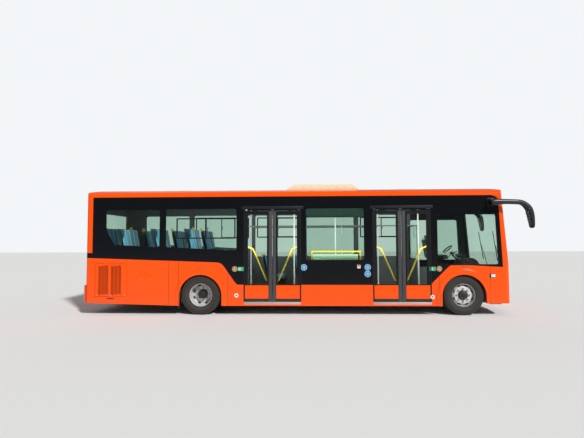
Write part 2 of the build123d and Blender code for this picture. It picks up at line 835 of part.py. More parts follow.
def axle_rod(reach, *size):
    return rod((rear_axle_x, -reach, tyre_radius), (rear_axle_x, reach, tyre_radius), *size)


casing_rings = [(-casing_half, casing_rim), (0, casing_radius), (casing_half, casing_rim)]
casing = Solid.make_loft(
    [
        flat_ring((rear_axle_x + dx, 0, tyre_radius), (1, 0, 0), radius, plain_sides)
        for dx, radius in casing_rings
    ],
    True,
)
axle_parts = [axle_rod(tube_reach, tube_radius, plain_sides), axle_rod(stub_reach, stub_radius), casing]
for y in (-rail_y - rail_width / 2, rail_y + rail_width / 2):
    rows = [(rear_axle_x, y, tyre_radius), (rear_axle_x, y, rear_rail_low)]
    axle_parts.append(rod(*rows, bellow_radius, plain_sides))
save("rear_axle", merge(axle_parts))

# Mudflaps hang on the rear wheel boxes' end walls
mudflap_x = rear_box_rear_x - box_wall
mudflap_thickness = 8
mudflap_width = 240
mudflap_rows = 135, rear_box_bottom + 115
mudflap_y = inner_width - 5
mudflap = box(mudflap_x - mudflap_thickness, mudflap_x, mudflap_y - mudflap_width, mudflap_y, *mudflap_rows)
save("mudflaps", both_sides(mudflap))

# Door header with the roller rails and the bearings, and the sill strip below
header_height = 100
header_y = pivot_line_y - 60
header_end = 60
rail_wall = 5
rail_half_gap = 13
rail_drop = 21
roller_radius = 10
rail_spare = roller_radius + 5
gear = []
for start in doorway_starts.values():
    end = start + door_width
    header_rows = door_top, door_top + header_height
    gear.append(box(start - header_end, end + header_end, header_y, inner_width, *header_rows))
    gear.append(box(start, end, inner_width, half_width + 3, sill_bottom, sill_top))
    for direction, jamb in ((1, start), (-1, end)):
        pillar_x = jamb + direction * (jamb_gap - pillar_setback)
        near = 2 * arm_length * cos(radians(swing_limit)) - rail_spare
        reach = 2 * arm_length + rail_spare
        for y in (pivot_line_y - rail_half_gap - rail_wall, pivot_line_y + rail_half_gap):
            x0, x1 = sorted((pillar_x + direction * near, pillar_x + direction * reach))
            gear.append(box(x0, x1, y, y + rail_wall, door_top - rail_drop, door_top))
save("door_headers_and_sills", [mirrored(piece) for piece in gear])

# Door leaves. Distances run from the leaf's jamb edge towards the meeting edge
leaf_back_y = leaf_face_y - leaf_thickness
lower_arm_bottom = floor_top + 6
upper_arm_bottom = leaf_top + 6
lug_plate = 12
door_pin_radius = 8
stile_jamb = 61
stile_meeting = 104
leaf_glass_bottom = 665
leaf_glass_top = leaf_top - 63
roller_place = leaf_width - roller_setback
handrail_radius = 14
handrail_stand = 50
handrail_sides = 12
# (distance from the jamb edge, height) down the slanted handrail
handrail_run = [(40, 1505), (176, 1450), (476, 760), (530, 735)]


def pillar(edge, direction):
    x = edge - direction * pillar_setback
    tip = x + direction * arm_length
    ends = [(x, pivot_line_y, floor_top + seat_gap), (x, pivot_line_y, door_top - seat_gap)]
    parts = [rod(*ends, pillar_radius, handrail_sides)]
    arm_y = pivot_line_y - arm_half_width, pivot_line_y + arm_half_width
    for low in (lower_arm_bottom, upper_arm_bottom):
        x0, x1 = sorted((x, tip + direction * arm_half_width))
        parts.append(box(x0, x1, *arm_y, low, low + arm_thickness))
    hole = rod((tip, pivot_line_y, 0), (tip, pivot_line_y, door_top), door_pin_radius + seat_gap)
    return mirrored(merge(parts).cut(hole))


def leaf(edge, direction):
    def slab(d0, d1, y0, y1, z0, z1):
        x0, x1 = sorted((edge + direction * d0, edge + direction * d1))
        return box(x0, x1, y0, y1, z0, z1)

    glass_span = stile_jamb, leaf_width - stile_meeting
    glass_rows = leaf_glass_bottom, leaf_glass_top
    parts = [slab(0, leaf_width, leaf_back_y, leaf_face_y, leaf_bottom, leaf_top)]
    parts[0] = parts[0].cut(slab(*glass_span, 0, far, *glass_rows))
    pivot = arm_length - pillar_setback
    lug_y = pivot_line_y - arm_half_width
    lugs = [(pivot, leaf_bottom), (pivot, leaf_top - lug_plate), (roller_place, leaf_top - lug_plate)]
    for d, low in lugs:
        parts.append(slab(d - arm_half_width, d + arm_half_width, lug_y, leaf_back_y, low, low + lug_plate))
    pins = [
        (pivot, lower_arm_bottom + 1, leaf_bottom + 1, door_pin_radius),
        (pivot, leaf_top - 1, upper_arm_bottom + arm_thickness - 1, door_pin_radius),
        (roller_place, leaf_top - 1, door_top - 4, roller_radius),
    ]
    for d, z0, z1, radius in pins:
        x = edge + direction * d
        parts.append(rod((x, pivot_line_y, z0), (x, pivot_line_y, z1), radius, handrail_sides))
    rail_line_y = leaf_back_y - handrail_stand
    (d0, z0), (d3, z3) = handrail_run[0], handrail_run[-1]
    run = [(edge + direction * d0, leaf_back_y + 5, z0)]
    run += [(edge + direction * d, rail_line_y, z) for d, z in handrail_run]
    run.append((edge + direction * d3, leaf_back_y + 5, z3))
    parts.append(pipe(run, handrail_radius, handrail_sides))
    pane_y = leaf_face_y - 2 - glass_thickness, leaf_face_y - 2
    return mirrored(merge(parts)), mirrored(slab(*glass_span, *pane_y, *glass_rows))


for doorway, start in doorway_starts.items():
    leaf_edges = {"rear": (start + jamb_gap, 1), "front": (start + door_width - jamb_gap, -1)}
    for place, (edge, direction) in leaf_edges.items():
        name = doorway + "_door_" + place
        save(name + "_pillar", pillar(edge, direction))
        frame, pane = leaf(edge, direction)
        save(name + "_leaf", frame)
        save(name + "_glass", pane)

# Side grille flap with slanted slots, hinged along its top edge
slot_rows = 14
slot_columns = [36, 118, 200, 315, 405, 495]
slot_border = 40
slot_length = 66
slot_lean = 26
slot_height = 24
slot_first = 50
slot_pitch = 47
flap_span = flap_rear_x + hinged_gap, flap_front_x - hinged_gap
flap_y = half_width - flap_thickness, half_width
flap = box(*flap_span, *flap_y, flap_bottom + hinged_gap, flap_hinge_z)
cutters = []
for x0 in [flap_rear_x + slot_border + column for column in slot_columns]:
    x1 = x0 + slot_length
    for row in range(slot_rows):
        z = flap_bottom + slot_first + row * slot_pitch
        top = z + slot_height
        outline = [(x0, z), (x1, z + slot_lean), (x1, top + slot_lean), (x0, top)]
        cutters.append(side_prism(outline, inner_width, far))
notch_y = half_width - notch_depth, far
notch_z = flap_hinge_z - notch_depth, flap_top
for x in flap_lug_starts:
    cutters.append(box(x - seat_gap, x + lug_length + seat_gap, *notch_y, *notch_z))
save("grille_flap", mirrored(flap.cut(*cutters)))

# Engine lid with two columns of louvre slots, hinged along its top edge
louvre_rows = 6
louvre_pitch = 70
louvre_height = 22
louvre_columns = [(-760, -180), (180, 760)]
lid_y = hinged_gap - lid_half, lid_half - hinged_gap
lid = box(rear_face_x, rear_face_x + lid_thickness, *lid_y, lid_bottom + hinged_gap, lid_hinge_z)
cutters = []
for y0, y1 in louvre_columns:
    for row in range(louvre_rows):
        z = lid_bottom + 120 + row * louvre_pitch
        cutters.append(box(tail_x, pocket_x, y0, y1, z, z + louvre_height))
notch_x = tail_x, rear_face_x + notch_depth
notch_z = lid_hinge_z - notch_depth, lid_top
for y in lid_lug_starts:
    cutters.append(box(*notch_x, y - seat_gap, y + lug_length + seat_gap, *notch_z))
save("engine_lid", lid.cut(*cutters))

# Seats: one side profile (x, z) pushed across the width of two places
seat_profile = [
    (-40, 0),
    (60, 0),
    (60, 385),
    (230, 420),
    (240, 480),
    (-180, 465),
    (-285, 1000),
    (-345, 1005),
    (-250, 400),
    (-40, 385),
]
aisle_half = 310
seat_inner_y = aisle_half + 10
seat_outer_y = inner_width - 5
first_row_x = bench_front_x + 487
last_row_x = rear_axle_x - 30
low_row_x = rear_axle_x + 1560
low_row_pitch = 770
low_rows = 4
seats = []
for x in (first_row_x, (first_row_x + last_row_x) / 2, last_row_x):
    points = [(x + dx, raised_floor_top + dz) for dx, dz in seat_profile]
    seats.extend(both_sides(side_prism(points, seat_inner_y, seat_outer_y)))
for row in range(low_rows):
    x = low_row_x + row * low_row_pitch
    points = [(x + dx, floor_top + dz) for dx, dz in seat_profile]
    seats.append(side_prism(points, seat_inner_y, seat_outer_y))
bench_points = [
    (bench_front_x - 10, bench_top),
    (bench_front_x, bench_top + 120),
    (bench_front_x - 300, bench_top + 100),
    (bench_front_x - 380, bench_top + 600),
    (bench_front_x - 430, bench_top + 600),
    (bench_front_x - 420, bench_top),
]
seats.append(side_prism(bench_points, -bench_side, bench_side))
save("passenger_seats", seats)

# Driver's place on the left wheel box
driver_x = front_axle_x + 60
driver_y = inner_width - 565
driver_width = 520
seat_drop = 150
driver_points = [(driver_x + dx, max(box_top, box_top - seat_drop + dz)) for dx, dz in seat_profile]
save("driver_seat", side_prism(driver_points, driver_y, driver_y + driver_width))

dash_rear_x = box_front_x + box_wall + 10
dash_height = 1180
dash_points = [
    (dash_rear_x, 700),
    (dash_rear_x + 30, 1120),
    (dash_rear_x + 90, dash_height + 20),
    (floor_front_x, dash_height),
    (floor_front_x, floor_top),
    (floor_front_x - 120, floor_top),
    (floor_front_x - 150, 700),
]
dash = side_prism(dash_points, 205 - inner_width, inner_width - 25)
dash = dash.cut(box(floor_front_x - 400, nose_x, -far, 250, 950, sky))
wheel_centre = Vector(front_axle_x + 450, driver_y + driver_width / 2, 1270)
column_foot = wheel_centre + Vector(230, 0, -273)
lean = (wheel_centre - column_foot).normalized()
hub_top = wheel_centre + lean * 14
rim_top = wheel_centre + lean * 26
steering_radius = 225
steering_sides = 24
wheel_ring = rod(wheel_centre, rim_top, steering_radius, steering_sides)
wheel_ring = wheel_ring.cut(rod(wheel_centre - lean, rim_top + lean, steering_radius - 25, steering_sides))
spoke_plane = Plane(origin=wheel_centre + lean * 6, x_dir=(0, 1, 0), z_dir=lean)
spoke_corners = [Vector(u, v, 0) for u, v in ((-212, -20), (212, -20), (212, 20), (-212, 20))]
spoke_outline = [spoke_plane.from_local_coords(corner) for corner in spoke_corners]
spokes = Solid.extrude(Face(Wire.make_polygon(spoke_outline, close=True)), lean * 12)
save("dashboard", merge([dash, rod(column_foot, hub_top, 28, handrail_sides), spokes, wheel_ring]))

# Cab partition behind the driver: a panel, a pane and a rail on top
partition_x = box_rear_x - box_wall - 45
partition_inner = 300
partition_thickness = 25
partition_rows = [(floor_top, 1150, 0), (1150, 2000, 8), (2000, 2030, 0)]
partition = []
for low, high, inset in partition_rows:
    span = partition_x + inset, partition_x + partition_thickness - inset
    partition.append(box(*span, partition_inner, inner_width, low, high))
save("cab_partition", partition)

# Grab poles from floor to roof, and rails between them
pole_radius = 17
pole_sides = 12
near_pole_y = -560
far_pole_y = 300
middle_x = (middle_start_x + middle_end_x) / 2
near_poles = [
    raised_floor_front_x + 70,
    rear_door_x + door_width - 160,
    middle_x + 56,
    front_door_x + door_width - 93,
]
far_poles = [raised_floor_front_x + 70, middle_x + 275, front_door_x + 357]
poles = []
rails = []
rail_height_z = door_top - 355
rail_radius = 15
for y, places in ((near_pole_y, near_poles), (far_pole_y, far_poles)):
    for x in places:
        poles.extend(rod((x, y, floor_top), (x, y, sky), pole_radius, pole_sides).intersect(inside).solids())
    for start, end in zip(places, places[1:]):
        spans = start + pole_radius + seat_gap, end - pole_radius - seat_gap
        rails.append(rod(*[(x, y, rail_height_z) for x in spans], rail_radius, pole_sides))
save("grab_poles", poles)
save("overhead_rails", rails)
window_rail_z = low_glass_bottom + 190
window_rail_y = 55 - inner_width
rail_foot_z = low_glass_bottom - 50
rail_start_x = middle_start_x + 139
rail_end_x = middle_end_x - 75
window_rail = [
    (rail_start_x, -inner_width, rail_foot_z),
    (rail_start_x, window_rail_y, rail_foot_z),
    (rail_start_x, window_rail_y, window_rail_z),
    (rail_end_x, window_rail_y, window_rail_z),
    (rail_end_x, window_rail_y, rail_foot_z),
    (rail_end_x, -inner_width, rail_foot_z),
]
save("window_rail", pipe(window_rail, pole_radius, pole_sides))
pad_thickness = 55
pad_rows = 900, low_glass_bottom + 130
pad_span = middle_start_x + 165, middle_end_x - 140
save("side_pad", box(*pad_span, -inner_width, pad_thickness - inner_width, *pad_rows))

# Mirrors: a foot on the side, an arm and a hanging head, as (back from the tip, down from the cove)
mirror_tip_x = front_axle_x + mirror_reach
mirror_reach_y = half_width + 205
arm_width = 110
head_width = 220
foot_outline = [(945, 125), (895, 86), (815, 90), (815, 240)]
arm_outline = [
    (950, 122),
    (890, 82),
    (576, 100),
    (302, 120),
    (110, 217),
    (22, 377),
    (146, 377),
    (286, 236),
    (521, 218),
    (678, 217),
    (816, 243),
]
head_outline = [
    (125, 205),
    (60, 290),
    (22, 377),
    (0, 536),
    (8, 714),
    (48, 738),
    (85, 674),
    (99, 496),
    (150, 350),
]


def mirror_prism(outline, y0, y1):
    return side_prism([(mirror_tip_x - back, cove_bottom - down) for back, down in outline], y0, y1)


mirror = merge([
    mirror_prism(foot_outline, half_width, mirror_reach_y - arm_width + 5),
    mirror_prism(arm_outline, mirror_reach_y - arm_width, mirror_reach_y),
    mirror_prism(head_outline, mirror_reach_y - head_width, mirror_reach_y),
])
save("mirrors", both_sides(mirror))


def front_x(y, z):
    arc_radius = (half_width**2 + front_bulge**2) / (2 * front_bulge)
    plan = front_face_x - arc_radius + (arc_radius**2 - y**2) ** 0.5
    share = max(0, z - belt_height) / (sky - belt_height)
    return plan - front_rake * share


# Wipers: a hub on the mask, an arm, a stem and the blade just off the screen
wiper_sides = 8
wiper_reach = 300
blade_lean = 60
blade_rows = windscreen_bottom + 190, windscreen_bottom + 890
blade_middle_z = sum(blade_rows) / 2
wipers = []
for y in (-620, 200):
    hub_z = windscreen_bottom - 60
    hub_x = front_x(abs(y) - 22, hub_z) + seat_gap
    arm_y = y + wiper_reach
    tip = (front_x(arm_y, blade_middle_z) + 32, arm_y, blade_middle_z)
    blade_ends = [
        (front_x(end_y, z) + 16, end_y, z)
        for end_y, z in zip((arm_y - blade_lean, arm_y + blade_lean), blade_rows)
    ]
    stem_foot = (front_x(arm_y, blade_middle_z) + 12, arm_y, blade_middle_z)
    wipers.append(merge([
        rod((hub_x, y, hub_z), (hub_x + 34, y, hub_z), 22, wiper_sides),
        rod((hub_x + 26, y, hub_z), tip, 8, wiper_sides),
        rod(*blade_ends, 9, wiper_sides),
        rod(stem_foot, tip, 8, wiper_sides),
    ]))
save("wipers", wipers)

# Towing eyes: plates with a round hole across, two at the front and one at the rear
eye_radius = 22
eye_half = 10
eye_height = 75
rear_eye_y = 400
front_eye_x = front_corner_x + 20
rear_eye_x = rear_end_x + 40
eye_plates = [
    (floor_front_x - 110, front_corner_x + 60, -rear_eye_y, plate_bottom, front_eye_x),
    (floor_front_x - 110, front_corner_x + 60, rear_eye_y, plate_bottom, front_eye_x),
    (rear_end_x, rear_end_x + 130, rear_eye_y, bumper_bottom, rear_eye_x),
]
eyes = []
for x0, x1, y, top, hole_x in eye_plates:
    plate = box(x0, x1, y - eye_half, y + eye_half, top - eye_height, top)
    hole_z = top - eye_height / 2 - 0.5
    hole_ends = [(hole_x, y - 2 * eye_half, hole_z), (hole_x, y + 2 * eye_half, hole_z)]
    eyes.append(plate.cut(rod(*hole_ends, eye_radius)))
save("towing_eyes", eyes)
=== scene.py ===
import bmesh
import bpy
import math
from mathutils import Matrix, Vector


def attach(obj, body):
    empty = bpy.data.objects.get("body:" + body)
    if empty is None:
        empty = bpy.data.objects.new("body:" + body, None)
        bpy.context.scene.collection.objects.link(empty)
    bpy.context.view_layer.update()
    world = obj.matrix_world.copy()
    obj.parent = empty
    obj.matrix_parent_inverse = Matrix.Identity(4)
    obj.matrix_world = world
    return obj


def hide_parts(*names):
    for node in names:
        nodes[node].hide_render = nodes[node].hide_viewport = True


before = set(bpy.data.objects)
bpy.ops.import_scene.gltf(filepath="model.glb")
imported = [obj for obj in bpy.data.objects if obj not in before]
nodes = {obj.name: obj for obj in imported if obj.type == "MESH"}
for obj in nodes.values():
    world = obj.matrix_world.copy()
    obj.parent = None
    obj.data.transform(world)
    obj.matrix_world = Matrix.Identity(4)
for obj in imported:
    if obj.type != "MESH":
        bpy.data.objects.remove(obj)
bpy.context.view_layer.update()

# places that several pieces share, in metres; the front is +X and the doors are on -Y
axleX = {"front": 3.4575, "rear": -2.3125}
hubHeight = 0.4335
piping = {"at": 0.118, "half": 0.0085}
# how far out things sit on a side wall: round the panes, on the lower panels, and stickers on them
paneY, panelY, stickerY = 1.2504, 1.2502, 1.2503
materials = {}


# Shader values: a sign between two of them, or one and a number, adds a math node to the tree
class Wire:
    def __init__(self, tree, socket):
        self.tree, self.socket = tree, socket

    def __add__(self, other):
        return calc("ADD", self, other)

    def __sub__(self, other):
        return calc("SUBTRACT", self, other)

    def __rsub__(self, other):
        return calc("SUBTRACT", other, self)

    def __mul__(self, other):
        return calc("MULTIPLY", self, other)

    def __truediv__(self, other):
        return calc("DIVIDE", self, other)

    def __pow__(self, other):
        return calc("POWER", self, other)

    def __gt__(self, other):
        return calc("GREATER_THAN", self, other)

    def __lt__(self, other):
        return calc("LESS_THAN", self, other)

    def __or__(self, other):
        return calc("MAXIMUM", self, other)

    def __abs__(self):
        return calc("ABSOLUTE", self)

    __radd__ = __add__


def addNode(tree, kind, **settings):
    node = tree.nodes.new(kind)
    for name, value in settings.items():
        setattr(node, name, value)
    return node


def plug(socket, value):
    if isinstance(value, Wire):
        value.tree.links.new(value.socket, socket)
    else:
        socket.default_value = value


def fill(node, values):
    for label, value in values.items():
        plug(node.inputs[label], value)


def calc(operation, first, second=0.0):
    tree = (first if isinstance(first, Wire) else second).tree
    node = addNode(tree, "ShaderNodeMath", operation=operation)
    fill(node, {0: first, 1: second})
    return Wire(tree, node.outputs[0])


def blend(factor, first, second):
    node = addNode(factor.tree, "ShaderNodeMix", data_type="RGBA", clamp_factor=True)
    fill(node, {0: factor, 6: first, 7: second})
    return Wire(factor.tree, node.outputs[2])


def split(vector):
    node = addNode(vector.tree, "ShaderNodeSeparateXYZ")
    plug(node.inputs[0], vector)
    return [Wire(vector.tree, socket) for socket in node.outputs]


def placeIn(tree):
    # object coordinates; the CAD nodes and new pieces all sit at the origin
    return Wire(tree, addNode(tree, "ShaderNodeTexCoord").outputs["Object"])


def noise(vector, scale, detail=3.0):
    node = addNode(vector.tree, "ShaderNodeTexNoise")
    fill(node, {"Vector": vector, "Scale": scale, "Detail": detail, "Roughness": 0.55})
    return Wire(vector.tree, node.outputs["Fac"])


def shade(color, share):
    return tuple(channel * share for channel in color[:3]) + (1,)


def newGroup(name, inputs, outputs):
    group = bpy.data.node_groups.new(name, "ShaderNodeTree")
    for label, value in inputs.items():
        kind = "NodeSocketColor" if isinstance(value, tuple) else "NodeSocketFloat"
        group.interface.new_socket(label, in_out="INPUT", socket_type=kind).default_value = value
    for label in outputs:
        kind = "NodeSocketColor" if label == "Color" else "NodeSocketFloat"
        group.interface.new_socket(label, in_out="OUTPUT", socket_type=kind)
    source = group.nodes.new("NodeGroupInput")
    target = group.nodes.new("NodeGroupOutput")
    return group, {label: Wire(group, source.outputs[label]) for label in inputs}, target


def useGroup(place, group, values):
    node = addNode(place.tree, "ShaderNodeGroup", node_tree=group)
    fill(node, values)
    return {socket.name: Wire(place.tree, socket) for socket in node.outputs}


def makeRoadDust():
    # film of road dust, thick near the ground and thinning upwards
    group, given, target = newGroup("roadDust", {
        "Paint": (0.5, 0.5, 0.5, 1), "Dust": (0.33, 0.29, 0.24, 1), "Reach": 0.9, "Amount": 0.35,
        "Base Roughness": 0.2,
    }, ("Color", "Roughness"))
    place = placeIn(group)
    fade = ((1.0 - split(place)[2] / given["Reach"]) | 0.0) ** 1.6
    patches = noise(place, 3.5) * noise(place, 26.0)
    amount = fade * given["Amount"] * (patches * 2.6 + 0.35)
    wipe = (noise(place, 1.7) - 0.5) * 0.08
    fill(target, {
        "Color": blend(amount, given["Paint"], given["Dust"]),
        "Roughness": given["Base Roughness"] + amount * 0.5 + wipe,
    })
    return group


def makeGrain():
    # moulded grain: a fine height and a small change of roughness
    group, given, target = newGroup(
        "mouldedGrain", {"Scale": 400.0, "Base Roughness": 0.6}, ("Height", "Roughness", "Patches")
    )
    place = placeIn(group)
    cells = addNode(group, "ShaderNodeTexVoronoi", feature="F1")
    fill(cells, {"Vector": place, "Scale": given["Scale"]})
    wide = noise(place, 4.0)
    fill(target, {
        "Height": Wire(group, cells.outputs["Distance"]), "Patches": wide,
        "Roughness": given["Base Roughness"] + (wide - 0.5) * 0.12,
    })
    return group


# the waist line under the black band: height at each place along the bus
waist = {
    -4.9: 1.262, -1.93: 1.158, -1.855: 1.135, -1.8: 1.085, -1.53: 0.7, -1.475: 0.668, 2.7: 0.66,
    2.745: 0.675, 3.11: 1.035, 3.165: 1.08, 3.26: 1.108, 4.35: 1.045,
}
panelSeams = (-3.02, -2.8, -1.7, 2.93, 4.02)


def makeLivery():
    # 1 where the body is black: the glazed band above the waist, round the front and rear windows
    group, given, target = newGroup("livery", {}, ("Black", "Seam"))
    x, y, z = split(placeIn(group))
    ramp = addNode(group, "ShaderNodeValToRGB")
    points = ramp.color_ramp.elements
    points.remove(points[-1])
    for count, (along, height) in enumerate(waist.items()):
        point = points.new((along + 5) / 10) if count else points[0]
        point.position = (along + 5) / 10
        point.color = (height / 2, height / 2, height / 2, 1)
    plug(ramp.inputs[0], (x + 5.0) / 10.0)
    line = Wire(group, ramp.outputs[0]) * 2.0
    # the orange screen pillar leans back and meets the roof in a rounded corner
    lean = 4.298 - (z - 1.05) * 0.046
    corner = (((z - 2.49) / 0.13) | 0.0) ** 3.0 * 0.15
    side = (z > line) * (z < 2.618) * (x < lean - corner) * ((x > -4.752) | (z < 1.373))
    wide = abs(y)
    screen = (x > 4.0) * (wide < 1.15) * (z > 0.925) * (z < 2.64)
    back = (x < -4.86) * (wide < 0.97) * (z > 1.4) * (z < 2.4)
    # narrow dark joints between the lower panels
    seams = abs(x - panelSeams[0]) < 0.003
    for place in panelSeams[1:]:
        seams = seams | (abs(x - place) < 0.003)
    fill(target, {"Black": side | screen | back, "Seam": seams * (z < line - 0.01) * (wide > 1.2)})
    return group


roadDust = makeRoadDust()
mouldedGrain = makeGrain()
livery = makeLivery()


def newMaterial(name):
    material = bpy.data.materials.new(name)
    material.use_nodes = True
    tree = material.node_tree
    tree.nodes.clear()
    out = tree.nodes.new("ShaderNodeOutputMaterial")
    shader = tree.nodes.new("ShaderNodeBsdfPrincipled")
    tree.links.new(shader.outputs[0], out.inputs[0])
    materials[name] = material
    return shader, placeIn(tree)


def bumpInto(shader, height, strength, distance):
    bump = addNode(height.tree, "ShaderNodeBump")
    fill(bump, {"Strength": strength, "Distance": distance, "Height": height})
    plug(shader.inputs["Normal"], Wire(height.tree, bump.outputs[0]))


coachPaint = {
    "orange": (0.93, 0.082, 0.001, 1), "black": (0.0035, 0.004, 0.0055, 1),
    "lining": (0.115, 0.125, 0.13, 1), "roughness": 0.2, "coat": 0.22, "dust": 0.045,
}


def makeCoachPaint():
    shader, place = newMaterial("coachPaint")
    x, y, z = split(place)
    marks = useGroup(place, livery, {})
    orange = blend(noise(place, 0.9), coachPaint["orange"], shade(coachPaint["orange"], 0.9))
    color = blend(marks["Black"], orange, coachPaint["black"])
    color = blend(marks["Seam"], color, (0.01, 0.006, 0.004, 1))
    facing = split(Wire(place.tree, addNode(place.tree, "ShaderNodeNewGeometry").outputs["Normal"]))
    ceiling = (facing[2] < -0.35) * (z > 2.55)
    # inner faces look towards the middle of the bus; near the driver the lining is dark
    wide = abs(y)
    walls = (wide > 1.0) * (y * facing[1] < -0.3) * (z < 2.66)
    ends = (abs(x) > 4.0) * (z < 2.83) * (x * facing[0] < -1.6)
    lining = ceiling | ((walls | ends) * (wide < 1.23))
    inner = blend((x > 2.9) * (z < 2.6), coachPaint["lining"], (0.02, 0.021, 0.023, 1))
    dusty = useGroup(place, roadDust, {
        "Paint": blend(lining, color, inner), "Amount": coachPaint["dust"],
        "Base Roughness": coachPaint["roughness"],
    })
    fill(shader, {
        "Base Color": dusty["Color"], "Roughness": dusty["Roughness"] + lining * 0.4,
        "Coat Roughness": 0.06,
        "Coat Weight": coachPaint["coat"] - marks["Black"] * (coachPaint["coat"] * 0.8),
        "Specular IOR Level": 0.14,
    })
    bumpInto(shader, noise(place, 3.0, 1.0), 0.12, 0.004)


def makePlain(name, color, roughness, metallic=0.0, grain=350.0, bump=0.15, dust=0.0, reach=0.9, second=None,
              coat=0.0, shine=0.5):
    # moulded, cast or coated stuff: grain, slow changes of tone, dust near the ground
    shader, place = newMaterial(name)
    skin = useGroup(place, mouldedGrain, {"Scale": grain, "Base Roughness": roughness})
    dusty = useGroup(place, roadDust, {
        "Paint": blend(skin["Patches"], second or shade(color, 0.75), color), "Amount": dust, "Reach": reach,
        "Base Roughness": skin["Roughness"],
    })
    fill(shader, {
        "Base Color": dusty["Color"], "Roughness": dusty["Roughness"], "Metallic": metallic,
        "Coat Weight": coat, "Specular IOR Level": shine,
    })
    bumpInto(shader, skin["Height"], bump, 0.0006)


def makeGlass(name, tint):
    shader, place = newMaterial(name)
    fill(shader, {
        "Base Color": blend(noise(place, 2.2), tint, shade(tint, 0.93)),
        "Roughness": noise(place, 9.0) * 0.012 + 0.01, "Transmission Weight": 1.0, "IOR": 1.12,
    })


def aboutAxle(place, end):
    # distance from an axle, and the turn round it as a share of a full circle
    x, y, z = split(place)
    across, high = x - axleX[end], z - hubHeight
    radius = calc("SQRT", across * across + high * high)
    return radius, calc("ARCTAN2", high, across) / math.tau + 0.5


def comb(share, count, width):
    # 1 inside each of a number of narrow gaps spread round the circle
    return calc("FRACT", share * count) < width


tyreLook = {"rubber": (0.018, 0.0175, 0.017, 1), "dust": (0.085, 0.075, 0.062, 1), "ribs": 220.0,
            "sipes": 58.0}


def makeTyreRubber(name, end):
    shader, place = newMaterial(name)
    radius, share = aboutAxle(place, end)
    ribs = (radius > 0.27) * (radius < 0.293) * comb(share, tyreLook["ribs"], 0.5)
    cuts = (radius > 0.4065) * comb(share, tyreLook["sipes"], 0.1)
    fine = (radius > 0.429) * comb(share, tyreLook["sipes"] * 2, 0.09)
    # the cuts in the tread are painted near black: painted shade in the grooves
    dark = cuts | fine
    band = (radius > 0.41) | (radius < 0.33) * 0.55
    powder = (band * 0.34 + 0.16) * (noise(place, 11.0, 4.0) + 0.35)
    color = blend(powder, tyreLook["rubber"], tyreLook["dust"])
    fill(shader, {
        "Base Color": blend(dark, color, (0.008, 0.008, 0.008, 1)), "Roughness": powder * 0.5 + 0.62,
        "Specular IOR Level": 0.35,
    })
    grit = noise(place, 420.0, 1.0) * 0.2
    bumpInto(shader, ribs * 0.4 + grit - dark * 2.5, 0.6, 0.0018)


def makeRimPaint(name, end, flange):
    # pale enamel on the disc, dark cast hub in the middle, painted shade in the corner where the disc meets
    # the rim
    shader, place = newMaterial(name)
    radius = aboutAxle(place, end)[0]
    patch = noise(place, 14.0, 4.0)
    silver = blend(patch, (0.72, 0.715, 0.69, 1), (0.55, 0.545, 0.52, 1))
    # a mottled ring of painted shade where the disc meets the rim
    corner = (1.0 - abs(radius - flange) * 22.0) | 0.0
    cornerShade = corner * (patch * 0.6 + 0.35)
    color = blend(cornerShade, silver, (0.13, 0.115, 0.1, 1))
    core = radius < 0.1085
    fill(shader, {
        "Base Color": blend(core, color, (0.012, 0.012, 0.012, 1)), "Metallic": 0.25 - core * 0.2,
        "Roughness": cornerShade * 0.45 + 0.34 + core * 0.15,
    })
    bumpInto(shader, noise(place, 160.0, 2.0), 0.18, 0.0008)


def makeSplit(name, low, high, roughness, mask):
    # two finishes on one casting: `mask` gives 1 where the second one shows
    shader, place = newMaterial(name)
    skin = useGroup(place, mouldedGrain, {"Scale": 380.0, "Base Roughness": roughness})
    patches = skin["Patches"] * 0.3
    first = blend(patches, low, shade(low, 0.6))
    second = blend(patches, high, shade(high, 0.8))
    fill(shader, {
        "Base Color": blend(mask(*split(place)), first, second), "Roughness": skin["Roughness"],
        "Specular IOR Level": 0.22,
    })
    bumpInto(shader, skin["Height"], 0.15, 0.0006)


def makeLens(name, color, stripes):
    # moulded lamp glass with fine flutes
    shader, place = newMaterial(name)
    x, y, z = split(place)
    fill(shader, {
        "Base Color": blend(noise(place, 30.0), color, shade(color, 0.6)), "Roughness": 0.08,
        "Coat Weight": 0.6,
    })
    bumpInto(shader, calc("SINE", z * stripes) + calc("SINE", (x + y) * stripes), 0.35, 0.0008)


def makeFilm(name, color):
    # printed film on glass or paint, slightly uneven and scuffed
    shader, place = newMaterial(name)
    fill(shader, {
        "Base Color": blend(noise(place, 24.0), color, shade(color, 0.82)),
        "Roughness": noise(place, 90.0) * 0.25 + 0.28,
    })
    bumpInto(shader, noise(place, 240.0, 1.0), 0.08, 0.0003)


def makeChrome(name, color, roughness):
    shader, place = newMaterial(name)
    fill(shader, {
        "Base Color": blend(noise(place, 8.0), color, shade(color, 0.9)), "Metallic": 1.0,
        "Roughness": noise(place, 30.0) * 0.06 + roughness,
    })


def makeMatrix():
    # rows of small unlit lamps behind dark glass
    shader, place = newMaterial("lampMatrix")
    x, y, z = split(place)
    rows, columns = (abs(calc("FRACT", along * 66.0) - 0.5) < 0.27 for along in (z, y))
    dots = rows * columns
    fill(shader, {
        "Base Color": blend(dots, (0.008, 0.008, 0.009, 1), (0.16, 0.1, 0.02, 1)),
        "Roughness": dots * 0.1 + 0.12, "Coat Weight": 1.0,
    })
    bumpInto(shader, dots, 0.15, 0.0005)


